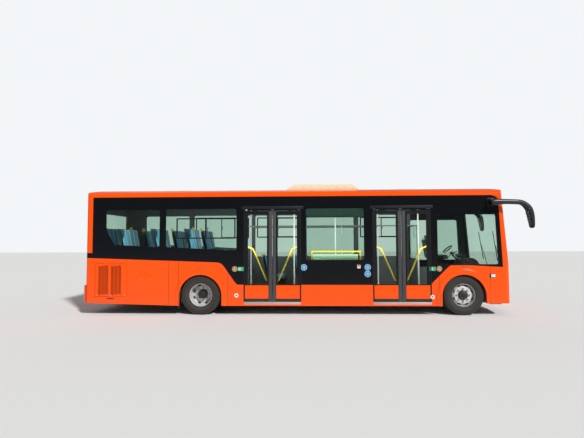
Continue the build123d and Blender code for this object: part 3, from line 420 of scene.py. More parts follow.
def makeSeatCloth(name, cloth, seam):
    # woven seat cover: the cushions' own map gives each panel's width and height in metres
    shader, place = newMaterial(name)
    panel = addNode(place.tree, "ShaderNodeUVMap", uv_map="panel")
    across, along = split(Wire(place.tree, panel.outputs[0]))[:2]
    cords = abs(abs(across) - piping["at"]) < piping["half"]
    weave = calc("SINE", across * 2400.0) * calc("SINE", along * 2400.0)
    patch = noise(place, 18.0)
    lighter = tuple(min(1.0, channel * 1.9 + 0.01) for channel in cloth[:3]) + (1,)
    flecks = noise(place, 120.0, 1.0) > 0.62
    body = blend(flecks * 0.35, blend(patch, cloth, lighter), lighter)
    fill(shader, {
        "Base Color": blend(cords, body, seam), "Roughness": patch * 0.25 + 0.52, "Sheen Weight": 0.25,
    })
    bumpInto(shader, weave * 0.35 + cords * 5.0, 0.5, 0.0012)


makeCoachPaint()
makeMatrix()
makeGlass("sideGlass", (0.6, 0.74, 0.66, 1))
makeGlass("clearGlass", (0.8, 0.9, 0.84, 1))
makeGlass("lampGlass", (0.97, 0.98, 0.98, 1))
makeRimPaint("frontRimPaint", "front", 0.232)
makeRimPaint("rearRimPaint", "rear", 0.196)
makeTyreRubber("tyreFront", "front")
makeTyreRubber("tyreRear", "rear")
makeSplit("leafFrame", (0.0055, 0.006, 0.007, 1), (0.93, 0.62, 0.02, 1), 0.42,
          lambda x, y, z: (y > -1.208) * (z > 0.7) * (z < 1.55))
makeSplit("doorwayMetal", (0.005, 0.0055, 0.0065, 1), (0.62, 0.5, 0.46, 1), 0.45, lambda x, y, z: z < 1.0)
makeLens("amberLens", (0.95, 0.36, 0.02, 1), 900.0)
makeLens("redLens", (0.62, 0.012, 0.01, 1), 500.0)
makeLens("whiteLens", (0.86, 0.87, 0.86, 1), 700.0)
makeChrome("chrome", (0.85, 0.86, 0.87, 1), 0.06)
makeChrome("mirrorGlass", (0.075, 0.08, 0.092, 1), 0.04)
makeSeatCloth("seatCloth", (0.014, 0.105, 0.175, 1), (0.5, 0.6, 0.66, 1))
makeSeatCloth("driverCloth", (0.03, 0.032, 0.036, 1), (0.16, 0.17, 0.18, 1))
makeFilm("filmBlue", (0.02, 0.24, 0.5, 1))
makeFilm("filmWhite", (0.8, 0.81, 0.8, 1))
makeFilm("filmPaleGrey", (0.42, 0.38, 0.32, 1))
makeFilm("filmGreen", (0.06, 0.4, 0.2, 1))
makeFilm("filmPale", (0.4, 0.62, 0.48, 1))
makeFilm("filmAmber", (0.46, 0.2, 0.06, 1))
makeFilm("filmRed", (0.66, 0.05, 0.05, 1))
makePlain("chassisBlack", (0.025, 0.024, 0.023, 1), 0.7, dust=0.5, reach=1.3)
makePlain("rubber", (0.01, 0.01, 0.011, 1), 0.75, dust=0.15, grain=900.0, shine=0.2)
makePlain("blackPlastic", (0.007, 0.0075, 0.009, 1), 0.42, shine=0.25)
makePlain("greyPlastic", (0.1, 0.105, 0.11, 1), 0.55)
makePlain("creamPaint", (0.78, 0.77, 0.52, 1), 0.45, grain=120.0, bump=0.05, second=(0.76, 0.66, 0.44, 1))
makePlain("castIron", (0.16, 0.16, 0.165, 1), 0.6, metallic=0.4, bump=0.4, dust=0.4, reach=1.4)
makePlain("aluminium", (0.62, 0.58, 0.55, 1), 0.38, metallic=0.7, dust=0.3)
makePlain("vinylFloor", (0.17, 0.175, 0.185, 1), 0.6, grain=260.0, second=(0.11, 0.115, 0.125, 1))
makePlain("railYellow", (0.93, 0.62, 0.02, 1), 0.3, grain=60.0, bump=0.03, coat=0.4)
makePlain("railGrey", (0.16, 0.165, 0.165, 1), 0.38, grain=60.0, bump=0.03, coat=0.2)
makePlain("railWhite", (0.88, 0.88, 0.85, 1), 0.32, grain=60.0, bump=0.03, coat=0.3)
makePlain("padGreen", (0.52, 0.7, 0.5, 1), 0.55, grain=500.0, bump=0.3)
makePlain("zinc", (0.52, 0.52, 0.51, 1), 0.42, metallic=0.85, dust=0.25, reach=1.2)
makePlain("blackGlass", (0.0035, 0.004, 0.0055, 1), 0.15, grain=40.0, bump=0.0, shine=0.22)
makePlain("meetingRubber", (0.062, 0.062, 0.067, 1), 0.62, grain=700.0, dust=0.15, shine=0.25)
makePlain("headerGrey", (0.012, 0.013, 0.016, 1), 0.5, grain=300.0, shine=0.22)
makePlain("sillAluminium", (0.66, 0.5, 0.45, 1), 0.4, metallic=0.5, dust=0.2)
makePlain("darkMesh", (0.004, 0.004, 0.004, 1), 0.8, grain=160.0, shine=0.1)
# pale green-grey for the board behind the middle window's top vent: a painted reflection on the vent pane
makePlain("tintStrip", (0.065, 0.115, 0.11, 1), 0.35, grain=60.0, bump=0.02)
makePlain("seatShell", (0.06, 0.063, 0.067, 1), 0.5, grain=420.0, bump=0.2)
makePlain("dashPlastic", (0.028, 0.029, 0.032, 1), 0.6, grain=420.0, bump=0.3, dust=0.1, reach=2.0)
makePlain("wheelGrip", (0.018, 0.018, 0.019, 1), 0.5, grain=600.0, bump=0.35)
makePlain("hornPlastic", (0.02, 0.021, 0.023, 1), 0.36, grain=380.0, bump=0.12, shine=0.4)
makePlain("diffuser", (0.82, 0.83, 0.8, 1), 0.4, grain=90.0, bump=0.1)

# what each CAD node wears; a name that starts with _ stands for every node that ends with it
worn = {
    "coachPaint": ["side_wall_right", "side_wall_left", "roof", "front_mask", "rear_mask", "engine_lid"],
    "sideGlass": ["side_glass_right", "side_glass_left", "rear_window"],
    "clearGlass": ["windscreen", "_glass"],
    "leafFrame": ["_leaf"],
    "blackPlastic": ["_pillar"],
    "chassisBlack": ["chassis_frame", "rear_axle", "front_axle", "knuckle_left", "knuckle_right",
                     "fuel_tank", "towing_eyes", "rear_wheel_boxes"],
    "castIron": ["engine_block"],
    "aluminium": ["radiator"],
    "doorwayMetal": ["door_headers_and_sills"],
    "rubber": ["mudflaps", "wipers"],
    "lampMatrix": ["destination_sign"],
    "vinylFloor": ["floor", "rear_platform", "front_wheel_boxes"],
    "railWhite": ["grab_poles"],
    "railGrey": ["overhead_rails"],
    "railYellow": ["window_rail"],
    "padGreen": ["side_pad"],
}
for look, wearers in worn.items():
    for name in nodes:
        if name in wearers or any(end[0] == "_" and name.endswith(end) for end in wearers):
            held = nodes[name].data.materials
            held.clear()
            held.append(materials[look])
print("materials done")


# Modelling helpers: each works on a bmesh, and keep() turns it into a finished piece
def paint(faces, material):
    for face in faces:
        face.material_index = material


def slab(shape, low, high, edge=0.0, steps=2, material=0):
    # a box with softened edges
    low, high = Vector(low), Vector(high)
    place = Matrix.LocRotScale((low + high) / 2, None, Vector([abs(step) for step in high - low]))
    made = bmesh.ops.create_cube(shape, size=1.0, matrix=place)["verts"]
    faces = {face for vert in made for face in vert.link_faces}
    paint(faces, material)
    if edge:
        bmesh.ops.bevel(
            shape, geom=list({line for face in faces for line in face.edges}), offset=edge, segments=steps,
            profile=0.5, affect="EDGES", material=-1, clamp_overlap=True,
        )


def bar(shape, start, end, radius, sides=16, material=0, endRadius=None):
    # a round bar from one point to another
    start, end = Vector(start), Vector(end)
    turn = (end - start).to_track_quat("Z", "Y")
    made = bmesh.ops.create_cone(
        shape, cap_ends=True, segments=sides, radius1=radius,
        radius2=radius if endRadius is None else endRadius, depth=(end - start).length,
        matrix=Matrix.LocRotScale((start + end) / 2, turn, None),
    )["verts"]
    paint({face for vert in made for face in vert.link_faces}, material)


def rect(x0, x1, z0, z1):
    return [(x0, z0), (x1, z0), (x1, z1), (x0, z1)]


def square(x, z, half, high=None):
    high = half if high is None else high
    return rect(x - half, x + half, z - high, z + high)


def acrossAt(y, corners):
    # (x, z) corners on the plane of one side
    return [(x, y, z) for x, z in corners]


def roundedEdges(shape, corners, radius, steps=6):
    # a closed outline with its corners rounded
    face = shape.faces.new([shape.verts.new(corner) for corner in corners])
    before = set(shape.edges) - set(face.edges)
    if radius:
        bmesh.ops.bevel(
            shape, geom=list(face.verts), offset=radius, segments=steps, profile=0.5, affect="VERTICES",
            material=-1,
        )
    lines = [line for line in shape.edges if line not in before]
    bmesh.ops.delete(shape, geom=[line.link_faces[0] for line in lines[:1]], context="FACES_ONLY")
    return lines


def plate(shape, corners, step, radius=0.0, edge=0.0, hole=None, holeRadius=0.0, material=0):
    # a flat plate pushed out along a vector, with a hole of another outline if one is given
    lines = roundedEdges(shape, corners, radius)
    if hole:
        lines += roundedEdges(shape, hole, holeRadius)
        filled = bmesh.ops.bridge_loops(shape, edges=lines)["faces"]
    else:
        filled = bmesh.ops.triangle_fill(shape, edges=lines, use_beauty=True)["geom"]
    faces = [item for item in filled if isinstance(item, bmesh.types.BMFace)]
    paint(faces, material)
    grown = bmesh.ops.extrude_face_region(shape, geom=faces, use_keep_orig=True)["geom"]
    moved = [item for item in grown if isinstance(item, bmesh.types.BMVert)]
    bmesh.ops.translate(shape, verts=moved, vec=step)
    if edge:
        tops = {item for item in grown if isinstance(item, bmesh.types.BMFace)}
        rims = {line for face in tops for line in face.edges if len(tops.intersection(line.link_faces)) == 1}
        bmesh.ops.bevel(
            shape, geom=list(rims), offset=edge, segments=2, profile=0.5, affect="EDGES", material=-1,
        )


def turned(shape, outline, centre, axis=(0, 1, 0), steps=64, material=0, closed=True):
    # an outline of (distance along the axis, radius) spun into a closed form
    axis, centre = Vector(axis), Vector(centre)
    before = set(shape.faces)
    verts = [shape.verts.new(centre + axis * out + Vector((0, 0, 1)) * radius) for out, radius in outline]
    pairs = list(zip(verts, verts[1:])) + ([(verts[-1], verts[0])] if closed else [])
    lines = [shape.edges.new(pair) for pair in pairs]
    bmesh.ops.spin(
        shape, geom=verts + lines, cent=centre, axis=axis, dvec=(0, 0, 0), angle=math.tau, steps=steps,
        use_merge=True, use_duplicate=False,
    )
    bmesh.ops.remove_doubles(shape, verts=shape.verts, dist=0.00001)
    paint([face for face in shape.faces if face not in before], material)


def headings(points):
    # at each point of a path, the way from the point before it to the one after
    last = len(points) - 1
    return [points[min(count + 1, last)] - points[max(count - 1, 0)] for count in range(last + 1)]


def lofted(shape, sections, sides):
    # rings set one after another along a path, bridged into one skin and closed at both ends
    rings = []
    for centre, ahead, halfUp, halfOut in sections:
        place = Matrix.LocRotScale(centre, ahead.to_track_quat("Z", "X"), Vector((halfUp, halfOut, 1)))
        made = bmesh.ops.create_circle(shape, cap_ends=False, segments=sides, radius=1.0,
                                       matrix=place)["verts"]
        rings.append(list({line for vert in made for line in vert.link_edges}))
    for first, second in zip(rings, rings[1:]):
        bmesh.ops.bridge_loops(shape, edges=first + second)
    for ring in (rings[0], rings[-1]):
        bmesh.ops.holes_fill(shape, edges=ring, sides=sides)


def flipped(shape):
    # add the same shape on the other side of the bus
    bmesh.ops.mirror(shape, geom=shape.verts[:] + shape.edges[:] + shape.faces[:], axis="Y", merge_dist=-1)


def asObject(shape, name):
    mesh = bpy.data.meshes.new(name)
    shape.to_mesh(mesh)
    shape.free()
    made = bpy.data.objects.new(name, mesh)
    bpy.context.collection.objects.link(made)
    return made


def soften(mesh, angle=32.0):
    mesh.shade_smooth()
    mesh.set_sharp_from_angle(angle=math.radians(angle))


def keep(shape, name, looks, body="root", smooth=32.0, insteadOf=()):
    # finish a bmesh as a piece: outward normals, smooth shading, its materials and its body
    bmesh.ops.recalc_face_normals(shape, faces=shape.faces)
    piece = asObject(shape, name)
    soften(piece.data, smooth)
    for look in [looks] if isinstance(looks, str) else looks:
        piece.data.materials.append(materials[look])
    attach(piece, body)
    if insteadOf:
        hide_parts(*insteadOf)
    return piece


def evaluated(made):
    graph = bpy.context.evaluated_depsgraph_get()
    mesh = bpy.data.meshes.new_from_object(made.evaluated_get(graph))
    made.modifiers.clear()
    return mesh


def carve(piece, shape):
    # cut a piece by a bmesh, and keep the result as plain mesh
    bmesh.ops.recalc_face_normals(shape, faces=shape.faces)
    cutter = asObject(shape, "cutter")
    cut = piece.modifiers.new("carve", "BOOLEAN")
    cut.object, cut.operation, cut.solver = cutter, "DIFFERENCE", "EXACT"
    piece.data = evaluated(piece)
    soften(piece.data)
    bpy.data.objects.remove(cutter)


# Tyres and wheels, as outlines of (distance outwards, radius) about the axle
wheelSizes = {
    "planeY": 1.09, "twinGap": 0.295, "steps": 96, "studRing": 0.1375, "studs": 8,
    "holeRing": 0.211, "holes": 8, "hole": 0.026, "holeLength": 1.45, "capRing": 0.07, "capBolts": 10,
}
tyreSide = [
    (0.094, 0.25), (0.101, 0.2515), (0.1065, 0.259), (0.1085, 0.266), (0.1125, 0.268), (0.1145, 0.276),
    (0.1215, 0.296), (0.123, 0.2965), (0.1235, 0.3), (0.1225, 0.3015), (0.127, 0.318), (0.1308, 0.333),
    (0.1323, 0.345), (0.1322, 0.356), (0.13, 0.37), (0.1296, 0.373), (0.1272, 0.3745), (0.125, 0.39),
    (0.1225, 0.402), (0.124, 0.4035), (0.124, 0.4075), (0.1205, 0.4095), (0.1175, 0.4205), (0.112, 0.428),
    (0.106, 0.4315), (0.0985, 0.4333),
]
for groove in (0.066, 0.0225):
    tyreSide += [
        (groove + 0.0062, 0.4335), (groove + 0.005, 0.4225), (groove - 0.005, 0.4225),
        (groove - 0.0062, 0.4335),
    ]
tyreOutline = tyreSide + [(-out, radius) for out, radius in reversed(tyreSide)]
frontRim = [
    (0.118, 0.0), (0.118, 0.034), (0.1155, 0.04), (0.105, 0.043), (0.104, 0.058), (0.102, 0.082),
    (0.096, 0.0925), (0.088, 0.097), (0.066, 0.1035), (0.063, 0.1075), (0.0625, 0.112), (0.0625, 0.181),
    (0.0605, 0.1865), (0.056, 0.19), (0.032, 0.226), (0.029, 0.2325), (0.033, 0.237), (0.09, 0.2385),
    (0.0985, 0.2405), (0.1035, 0.2435), (0.106, 0.247), (0.105, 0.2497), (-0.105, 0.2497), (-0.106, 0.247),
    (-0.1035, 0.2435), (-0.0985, 0.2405), (-0.09, 0.2385), (0.01, 0.237), (0.017, 0.23), (0.043, 0.187),
    (0.048, 0.18), (0.048, 0.07), (0.03, 0.064), (-0.043, 0.06), (-0.045, 0.056), (-0.045, 0.0306),
    (0.045, 0.0306), (0.045, 0.0),
]
rearRim = [
    (-0.015, 0.0), (-0.016, 0.06), (-0.02, 0.078), (-0.033, 0.088), (-0.042, 0.097), (-0.13, 0.103),
    (-0.1365, 0.1075), (-0.137, 0.112), (-0.137, 0.183), (-0.134, 0.19), (-0.112, 0.222), (-0.101, 0.233),
    (-0.09, 0.2365), (0.09, 0.2385), (0.0985, 0.2405), (0.1035, 0.2435), (0.106, 0.247), (0.105, 0.2497),
    (-0.4, 0.2497), (-0.401, 0.247), (-0.3985, 0.2435), (-0.3935, 0.2405), (-0.385, 0.2385), (-0.12, 0.2365),
    (-0.128, 0.228), (-0.156, 0.19), (-0.1595, 0.183), (-0.1595, 0.0507), (-0.06, 0.0507), (-0.06, 0.0),
]


def aroundHub(count, total, radius):
    # one of a number of places round the axle, and the turn that leads there
    turn = Matrix.Rotation(math.tau * count / total, 4, "Y")
    return turn @ Vector((radius, 0, 0)), turn


def makeRim(name, body, end, side, outline, diskOut):
    centre = Vector((axleX[end], side * wheelSizes["planeY"], hubHeight))
    out = Vector((0, side, 0))
    shape = bmesh.new()
    turned(shape, outline, centre, out, wheelSizes["steps"], closed=False)
    rim = keep(shape, name, end + "RimPaint", body, insteadOf=[body])
    cutter = bmesh.new()
    upright = Matrix.Rotation(math.radians(90), 4, "X")
    stretch = Matrix.Diagonal((wheelSizes["hole"] * 0.82, wheelSizes["hole"] * wheelSizes["holeLength"],
                               0.11, 1))
    for count in range(wheelSizes["holes"]):
        step, turn = aroundHub(count + 0.5, wheelSizes["holes"], wheelSizes["holeRing"])
        place = Matrix.Translation(centre + out * (diskOut - 0.012) + step) @ turn @ upright @ stretch
        bmesh.ops.create_cone(cutter, cap_ends=True, segments=24, radius1=1, radius2=1, depth=1,
                              matrix=place)
    carve(rim, cutter)
    # nuts on studs round the hub, and a flange of small bolts on the cap
    shape = bmesh.new()
    for count in range(wheelSizes["studs"]):
        foot = centre + aroundHub(count, wheelSizes["studs"], wheelSizes["studRing"])[0] + out * diskOut
        bar(shape, foot - out * 0.001, foot + out * 0.005, 0.0215, 20)
        bar(shape, foot + out * 0.004, foot + out * 0.027, 0.0185, 6, endRadius=0.0172)
        bar(shape, foot + out * 0.026, foot + out * 0.041, 0.01, 12, endRadius=0.0085)
    hubFace = outline[4][0]
    for count in range(wheelSizes["capBolts"]):
        step = aroundHub(count, wheelSizes["capBolts"], wheelSizes["capRing"])[0]
        foot = centre + step + out * (hubFace - 0.004)
        bar(shape, foot, foot + out * 0.01, 0.0062, 6)
    keep(shape, name + "Nuts", "zinc", body, smooth=25)


def makeTyre(name, body, end, side, planes, insteadOf):
    shape = bmesh.new()
    for plane in planes:
        centre = (axleX[end], side * (wheelSizes["planeY"] - plane), hubHeight)
        turned(shape, tyreOutline, centre, (0, side, 0), wheelSizes["steps"])
    keep(shape, name, "tyre" + end.title(), body, insteadOf=insteadOf)
    # a valve on the rim's edge
    shape = bmesh.new()
    hub = Vector((axleX[end], side * (wheelSizes["planeY"] + 0.035), hubHeight))
    bar(shape, hub + Vector((0.232, 0, 0)), hub + Vector((0.224, side * 0.045, 0)), 0.0045, 10)
    keep(shape, name + "Valve", "zinc", body)


for side, label in ((-1, "Right"), (1, "Left")):
    low = label.lower()
    makeRim("frontRim" + label, "wheel_front_" + low, "front", side, frontRim, 0.0625)
    makeTyre("frontTyre" + label, "wheel_front_" + low, "front", side, [0.0], ["tyre_front_" + low])
    makeRim("rearRim" + label, "wheel_rear_" + low, "rear", side, rearRim, -0.137)
    makeTyre("rearTyres" + label, "wheel_rear_" + low, "rear", side, [0.0, wheelSizes["twinGap"]],
             ["tyres_rear_" + low])
print("wheels done")

# Rubber and black glass borders round every window: outline corners as (x, z)
glazing = {"lap": 0.012, "border": 0.01, "cornerRadius": 0.05, "proud": 0.0016}
sideWindows = {
    "rear": [(-4.4615, 2.337), (-3.2255, 2.343), (-3.2255, 1.49), (-4.2695, 1.544), (-4.4535, 1.867)],
    "second": [(-3.1025, 2.355), (-1.5005, 2.355), (-1.5005, 1.41), (-3.1025, 1.49)],
    "middle": [(0.0215, 2.355), (1.3125, 2.355), (1.3125, 1.2), (0.0215, 1.2)],
    "cab": [(2.8945, 2.203), (4.1695, 2.203), (4.2125, 1.101), (2.8945, 1.101)],
}
lowPanes = {"starts": (-1.3905, 0.0378, 1.4662), "width": 1.3183, "low": 1.2, "top": 2.355}


def scaledOutline(corners, step):
    # move every corner away from the middle by about one step on each side
    middle = [sum(values) / len(corners) for values in zip(*corners)]
    return [tuple(value + step * math.copysign(1, value - centre) for value, centre in zip(corner, middle))
            for corner in corners]


def border(shape, corners, y, push, inner=glazing["border"], radius=glazing["cornerRadius"],
           lap=glazing["lap"]):
    plate(shape, acrossAt(y, scaledOutline(corners, lap)), (0, push, 0), radius=lap + 0.012,
          hole=acrossAt(y, scaledOutline(corners, -inner)), holeRadius=radius)


def makeGlazing():
    shape = bmesh.new()
    for corners in sideWindows.values():
        border(shape, corners, -paneY, -glazing["proud"])
    # the middle window's top vent: a bar across, and a pull at each end
    slab(shape, (0.03, -1.2525, 2.143), (1.304, -1.2498, 2.161), 0.0008)
    for x in (0.16, 1.17):
        slab(shape, (x - 0.03, -1.2405, 2.17), (x + 0.03, -1.23, 2.19), 0.003)
    keep(shape, "windowBordersRight", "blackGlass")
    # a pale board just inside the middle window's top vent: a painted reflection of the vent pane
    shape = bmesh.new()
    slab(shape, (0.024, -1.2405, 2.16), (1.31, -1.2385, 2.352))
    keep(shape, "ventReflectionBoard", "tintStrip")
    shape = bmesh.new()
    for label in ("rear", "second", "cab"):
        border(shape, sideWindows[label], paneY, glazing["proud"])
    for start in lowPanes["starts"]:
        corners = rect(start, start + lowPanes["width"], lowPanes["top"], lowPanes["low"])
        border(shape, corners, paneY, glazing["proud"])
    keep(shape, "windowBordersLeft", "blackGlass")


# Sliding panes in black channels: three on the left, and one on the right in the second window
sliders = [(-3.035, -1.57, 1.722, 2.278), (-1.32, -0.145, 1.742, 2.278), (1.535, 2.715, 1.742, 2.278)]
nearSlider = (-2.842, -1.548, 1.697, 2.128)


def makeSliders():
    shape = bmesh.new()
    for x0, x1, z0, z1 in sliders:
        middle, high = (x0 + x1) / 2, (z0 + z1) / 2
        border(shape, rect(x0, x1, z0, z1), 1.231, 0.01, inner=0.016, radius=0.012, lap=0.014)
        half = rect(middle - 0.02, x1 - 0.012, z0 + 0.012, z1 - 0.012)
        border(shape, half, 1.225, 0.006, inner=0.012, radius=0.008, lap=0.01)
        slab(shape, (middle - 0.032, 1.229, z0 + 0.02), (middle - 0.012, 1.24, z1 - 0.02), 0.002)
        slab(shape, (middle + 0.004, 1.217, high - 0.045), (middle + 0.018, 1.225, high + 0.045), 0.003)
    x0, x1, z0, z1 = nearSlider
    middle = (x0 + x1) / 2
    border(shape, rect(x0, x1, z0, z1), -1.2525, 0.018, inner=0.012, radius=0.014, lap=0.014)
    slab(shape, (middle - 0.018, -1.252, z0), (middle + 0.018, -1.235, z1), 0.002)
    slab(shape, (middle + 0.03, -1.2385, z0 + 0.15), (middle + 0.044, -1.23, z0 + 0.25), 0.003)
    keep(shape, "slidingPaneChannels", "blackPlastic")


# Door trim. Each leaf: (body, jamb edge x, direction towards the meeting edge)
doorLeaves = [
    ("rear_door_rear", -1.3265, 1), ("rear_door_front", -0.1005, -1),
    ("front_door_rear", 1.5125, 1), ("front_door_front", 2.7385, -1),
]
doorTrim = {
    "width": 0.608, "jambStile": 0.061, "meetingStile": 0.104, "bottom": 0.3, "top": 2.288,
    "glassLow": 0.665, "glassHigh": 2.225, "faceY": -1.245, "rubberWidth": 0.074, "kickLow": 0.36,
    "kickTop": 0.654, "rail": 0.0168,
}
# down the handrail: distance from the jamb, height, and how far it dips towards the glass
handrailPath = [
    (0.04, 1.505, -0.045), (0.041, 1.505, -0.016), (0.052, 1.5005, -0.004), (0.07, 1.493, 0.0),
    (0.15, 1.4605, 0.0), (0.172, 1.448, 0.0), (0.185, 1.429, 0.0), (0.2, 1.395, 0.0), (0.452, 0.815, 0.0),
    (0.468, 0.779, 0.0), (0.483, 0.759, 0.0), (0.505, 0.7465, 0.0), (0.52, 0.7395, -0.004),
    (0.529, 0.7355, -0.016), (0.53, 0.735, -0.045),
]


def makeDoorTrim(body, jamb, way):
    trim, face = doorTrim, doorTrim["faceY"]
    low, high, rubberEdge = trim["bottom"], trim["top"], trim["width"] - trim["rubberWidth"]

    def at(distance):
        return jamb + way * distance

    shape = bmesh.new()
    # glass gasket, meeting rubber with three ribs, a bottom brush strip and the kick panel's rim
    glass = rect(at(trim["jambStile"]), at(trim["width"] - trim["meetingStile"]), trim["glassLow"],
                 trim["glassHigh"])
    border(shape, glass, face - 0.0004, -0.0022, inner=0.01, radius=0.03, lap=0.01)
    border(shape, glass, face + 0.0324, 0.004, inner=0.008, radius=0.026, lap=0.012)
    start, end = sorted((at(rubberEdge), at(trim["width"] - 0.002)))
    slab(shape, (start, face - 0.0034, low + 0.004), (end, face - 0.0002, high - 0.004), 0.0014, material=1)
    for share in (0.2, 0.5, 0.8):
        x = start + (end - start) * share
        slab(shape, (x - 0.0022, face - 0.0048, low + 0.006), (x + 0.0022, face - 0.003, high - 0.006),
             0.0008, material=1)
    x0, x1 = sorted((at(0.004), at(rubberEdge - 0.003)))
    slab(shape, (x0, face - 0.003, low + 0.002), (x1, face - 0.0002, 0.352), 0.001)
    kick = rect(x0 + 0.004, x1 - 0.004, trim["kickLow"], trim["kickTop"])
    plate(shape, acrossAt(face - 0.0003, kick), (0, -0.0026, 0), radius=0.008, edge=0.0008, material=2)
    # the rail's end flanges
    for distance, height, dip in (handrailPath[0], handrailPath[-1]):
        foot = Vector((at(distance), face + 0.0325, height))
        bar(shape, foot, foot + Vector((0, 0.004, 0)), 0.026, 24, material=3)
        bar(shape, foot + Vector((0, 0.003, 0)), foot + Vector((0, 0.012, 0)), 0.0185, 24, 3,
            endRadius=0.0165)
    keep(shape, body + "_trim", ["rubber", "meetingRubber", "coachPaint", "railYellow"], body)
    # the slanted handrail's bright sleeve with rounded bends
    points = [Vector((at(distance), face + 0.0825 + dip, height)) for distance, height, dip in handrailPath]
    shape = bmesh.new()
    thick = trim["rail"]
    lofted(shape, [(point, ahead, thick, thick) for point, ahead in zip(points, headings(points))], 16)
    keep(shape, body + "_rail", "railYellow", body, smooth=60)


# The header plate over each doorway, rubber lips on its jambs and the ribbed tread on its sill
headers = {"starts": (-1.3385, 1.5005), "opening": 1.25, "bottom": 2.337, "top": 2.402, "reach": 0.062}


def makeHeaders():
    shape = bmesh.new()
    low = headers["bottom"]
    for start in headers["starts"]:
        end = start + headers["opening"]
        slab(shape, (start - headers["reach"], -1.253, low),
             (end + headers["reach"], -1.25, headers["top"]), 0.0012)
        for x in (start + 0.002, end - 0.002):
            slab(shape, (x - 0.0125, -1.2532, 0.296), (x + 0.0125, -paneY, low - 0.002), 0.001, material=1)
        slab(shape, (start + 0.004, -1.256, 0.24), (end - 0.004, -1.2524, 0.286), 0.0015, material=2)
        for z in (0.249, 0.263, 0.277):
            slab(shape, (start + 0.01, -1.2572, z - 0.0016), (end - 0.01, -1.2555, z + 0.0016), 0.0006,
                 material=2)
    keep(shape, "doorwayTrim", ["headerGrey", "rubber", "sillAluminium"])


# Markers, stickers and other small things on the sides: (x, z)
markers = [(-2.306, 1.02), (3.482, 1.05)]
couplings = [(-1.507, 0.432), (2.774, 0.403)]
blueDiscs = [(-0.017, 1.046), (1.379, 1.044), (1.377, 0.903)]
greenPlates = [(-1.413, 1.013), (2.787, 1.012)]
amberDiscs = [(-1.546, 1.013), (2.931, 1.012)]
redPlate, repeater = (1.187, 1.062), (4.07, 0.862)
filmLooks = ["filmBlue", "filmWhite", "filmGreen", "filmPale", "filmAmber", "filmRed", "filmPaleGrey"]
# rings of one disc: (radius, how proud it stands, which film)
blueRings = [(0.073, 0.001, 0), (0.062, 0.0014, 1), (0.056, 0.0018, 0), (0.024, 0.0022, 1),
             (0.014, 0.0026, 0)]
amberRings = [(0.06, 0.001, 6), (0.054, 0.0014, 4), (0.026, 0.0018, 6)]


def makeStickers():
    y = -stickerY
    shape = bmesh.new()
    for spots, rings in ((blueDiscs, blueRings), (amberDiscs, amberRings)):
        for x, z in spots:
            for radius, proud, film in rings:
                bar(shape, (x, y, z), (x, y - proud, z), radius, 36, film)
    for x, z in greenPlates:
        plate(shape, acrossAt(y, square(x, z, 0.066, 0.044)), (0, -0.0012, 0), radius=0.008, material=2)
        symbol = rect(x - 0.052, x + 0.004, z - 0.03, z + 0.03)
        plate(shape, acrossAt(y - 0.0012, symbol), (0, -0.0006, 0), radius=0.004, material=3)
    x, z = redPlate
    plate(shape, acrossAt(y, square(x, z, 0.036)), (0, -0.001, 0), radius=0.005, material=1)
    symbol = rect(x - 0.028, x + 0.028, z - 0.004, z + 0.029)
    plate(shape, acrossAt(y - 0.001, symbol), (0, -0.0006, 0), radius=0.003, material=5)
    keep(shape, "sideStickers", filmLooks)


def makeSideLamps(side, label):
    shape = bmesh.new()

    def block(x0, x1, z0, z1, near, far, edge, steps=2, material=0):
        slab(shape, (x0, side * (panelY + near), z0), (x1, side * (panelY + far), z1), edge, steps, material)

    for x, z in markers:
        block(x - 0.034, x + 0.034, z - 0.013, z + 0.013, 0, 0.006, 0.0025)
        block(x - 0.027, x + 0.027, z - 0.008, z + 0.008, 0.004, 0.0115, 0.003, material=1)
    x, z = repeater
    block(x - 0.064, x + 0.064, z - 0.042, z + 0.042, 0, 0.003, 0.0012)
    block(x - 0.036, x + 0.057, z - 0.033, z + 0.033, 0.002, 0.0095, 0.0035, 3, 2)
    keep(shape, "sideLamps" + label, ["blackPlastic", "amberLens", "whiteLens"])


def makeCouplings():
    y = -stickerY
    cap = [(0.0, 0.0), (0.0, 0.044), (0.002, 0.046), (0.0045, 0.042), (0.0045, 0.02), (0.002, 0.018),
           (0.001, 0.0)]
    pin = [(0.0004, 0.0), (0.0012, 0.0175), (0.004, 0.015), (0.006, 0.009), (0.0062, 0.0)]
    caps, plugs = bmesh.new(), bmesh.new()
    for x, z in couplings:
        turned(caps, cap, (x, y, z), (0, -1, 0), 36, closed=False)
        turned(plugs, pin, (x, y, z), (0, -1, 0), 24, closed=False)
        slab(plugs, (x - 0.004, y - 0.0082, z - 0.011), (x + 0.004, y - 0.0058, z + 0.011), 0.001)
    keep(caps, "couplingCaps", "filmWhite")
    keep(plugs, "couplingPlugs", "blackPlastic")


# A thin proud lid on each lower side, the pull of another on the right, and the locks that hold such lids
lid = {"x0": -3.675, "x1": -3.375, "z0": 0.745, "z1": 0.94}
locks = [(-3.645, 0.775), (-3.405, 0.775), (-4.64, 0.44), (-3.997, 0.44), (-4.318, 0.424)]
lockOutline = [(0, 0), (0, 0.0125), (0.0026, 0.0118), (0.003, 0.0085), (0.0016, 0.0078), (0.0016, 0.0)]


def makeLids():
    shape, pull, lock = bmesh.new(), bmesh.new(), bmesh.new()
    slab(pull, (-4.4, -1.2512, 0.35), (-4.24, -1.25, 0.374), 0.0004)
    keep(pull, "lidPull", "rubber")
    for side in (-1, 1):
        y = side * panelY
        plate(shape, acrossAt(y, rect(**lid)), (0, side * 0.0022, 0), radius=0.012, edge=0.0008)
        for x, z in locks:
            turned(lock, lockOutline, (x, y, z), (0, side, 0), 20, closed=False)
    keep(shape, "serviceLids", "coachPaint")
    keep(lock, "panelLocks", "zinc")


makeGlazing()
makeSliders()
for leaf, jamb, way in doorLeaves:
    makeDoorTrim(leaf + "_leaf", jamb, way)
makeHeaders()
makeStickers()
makeSideLamps(-1, "Right")
makeSideLamps(1, "Left")
makeCouplings()
makeLids()
print("glazing, door trim and side fittings done")

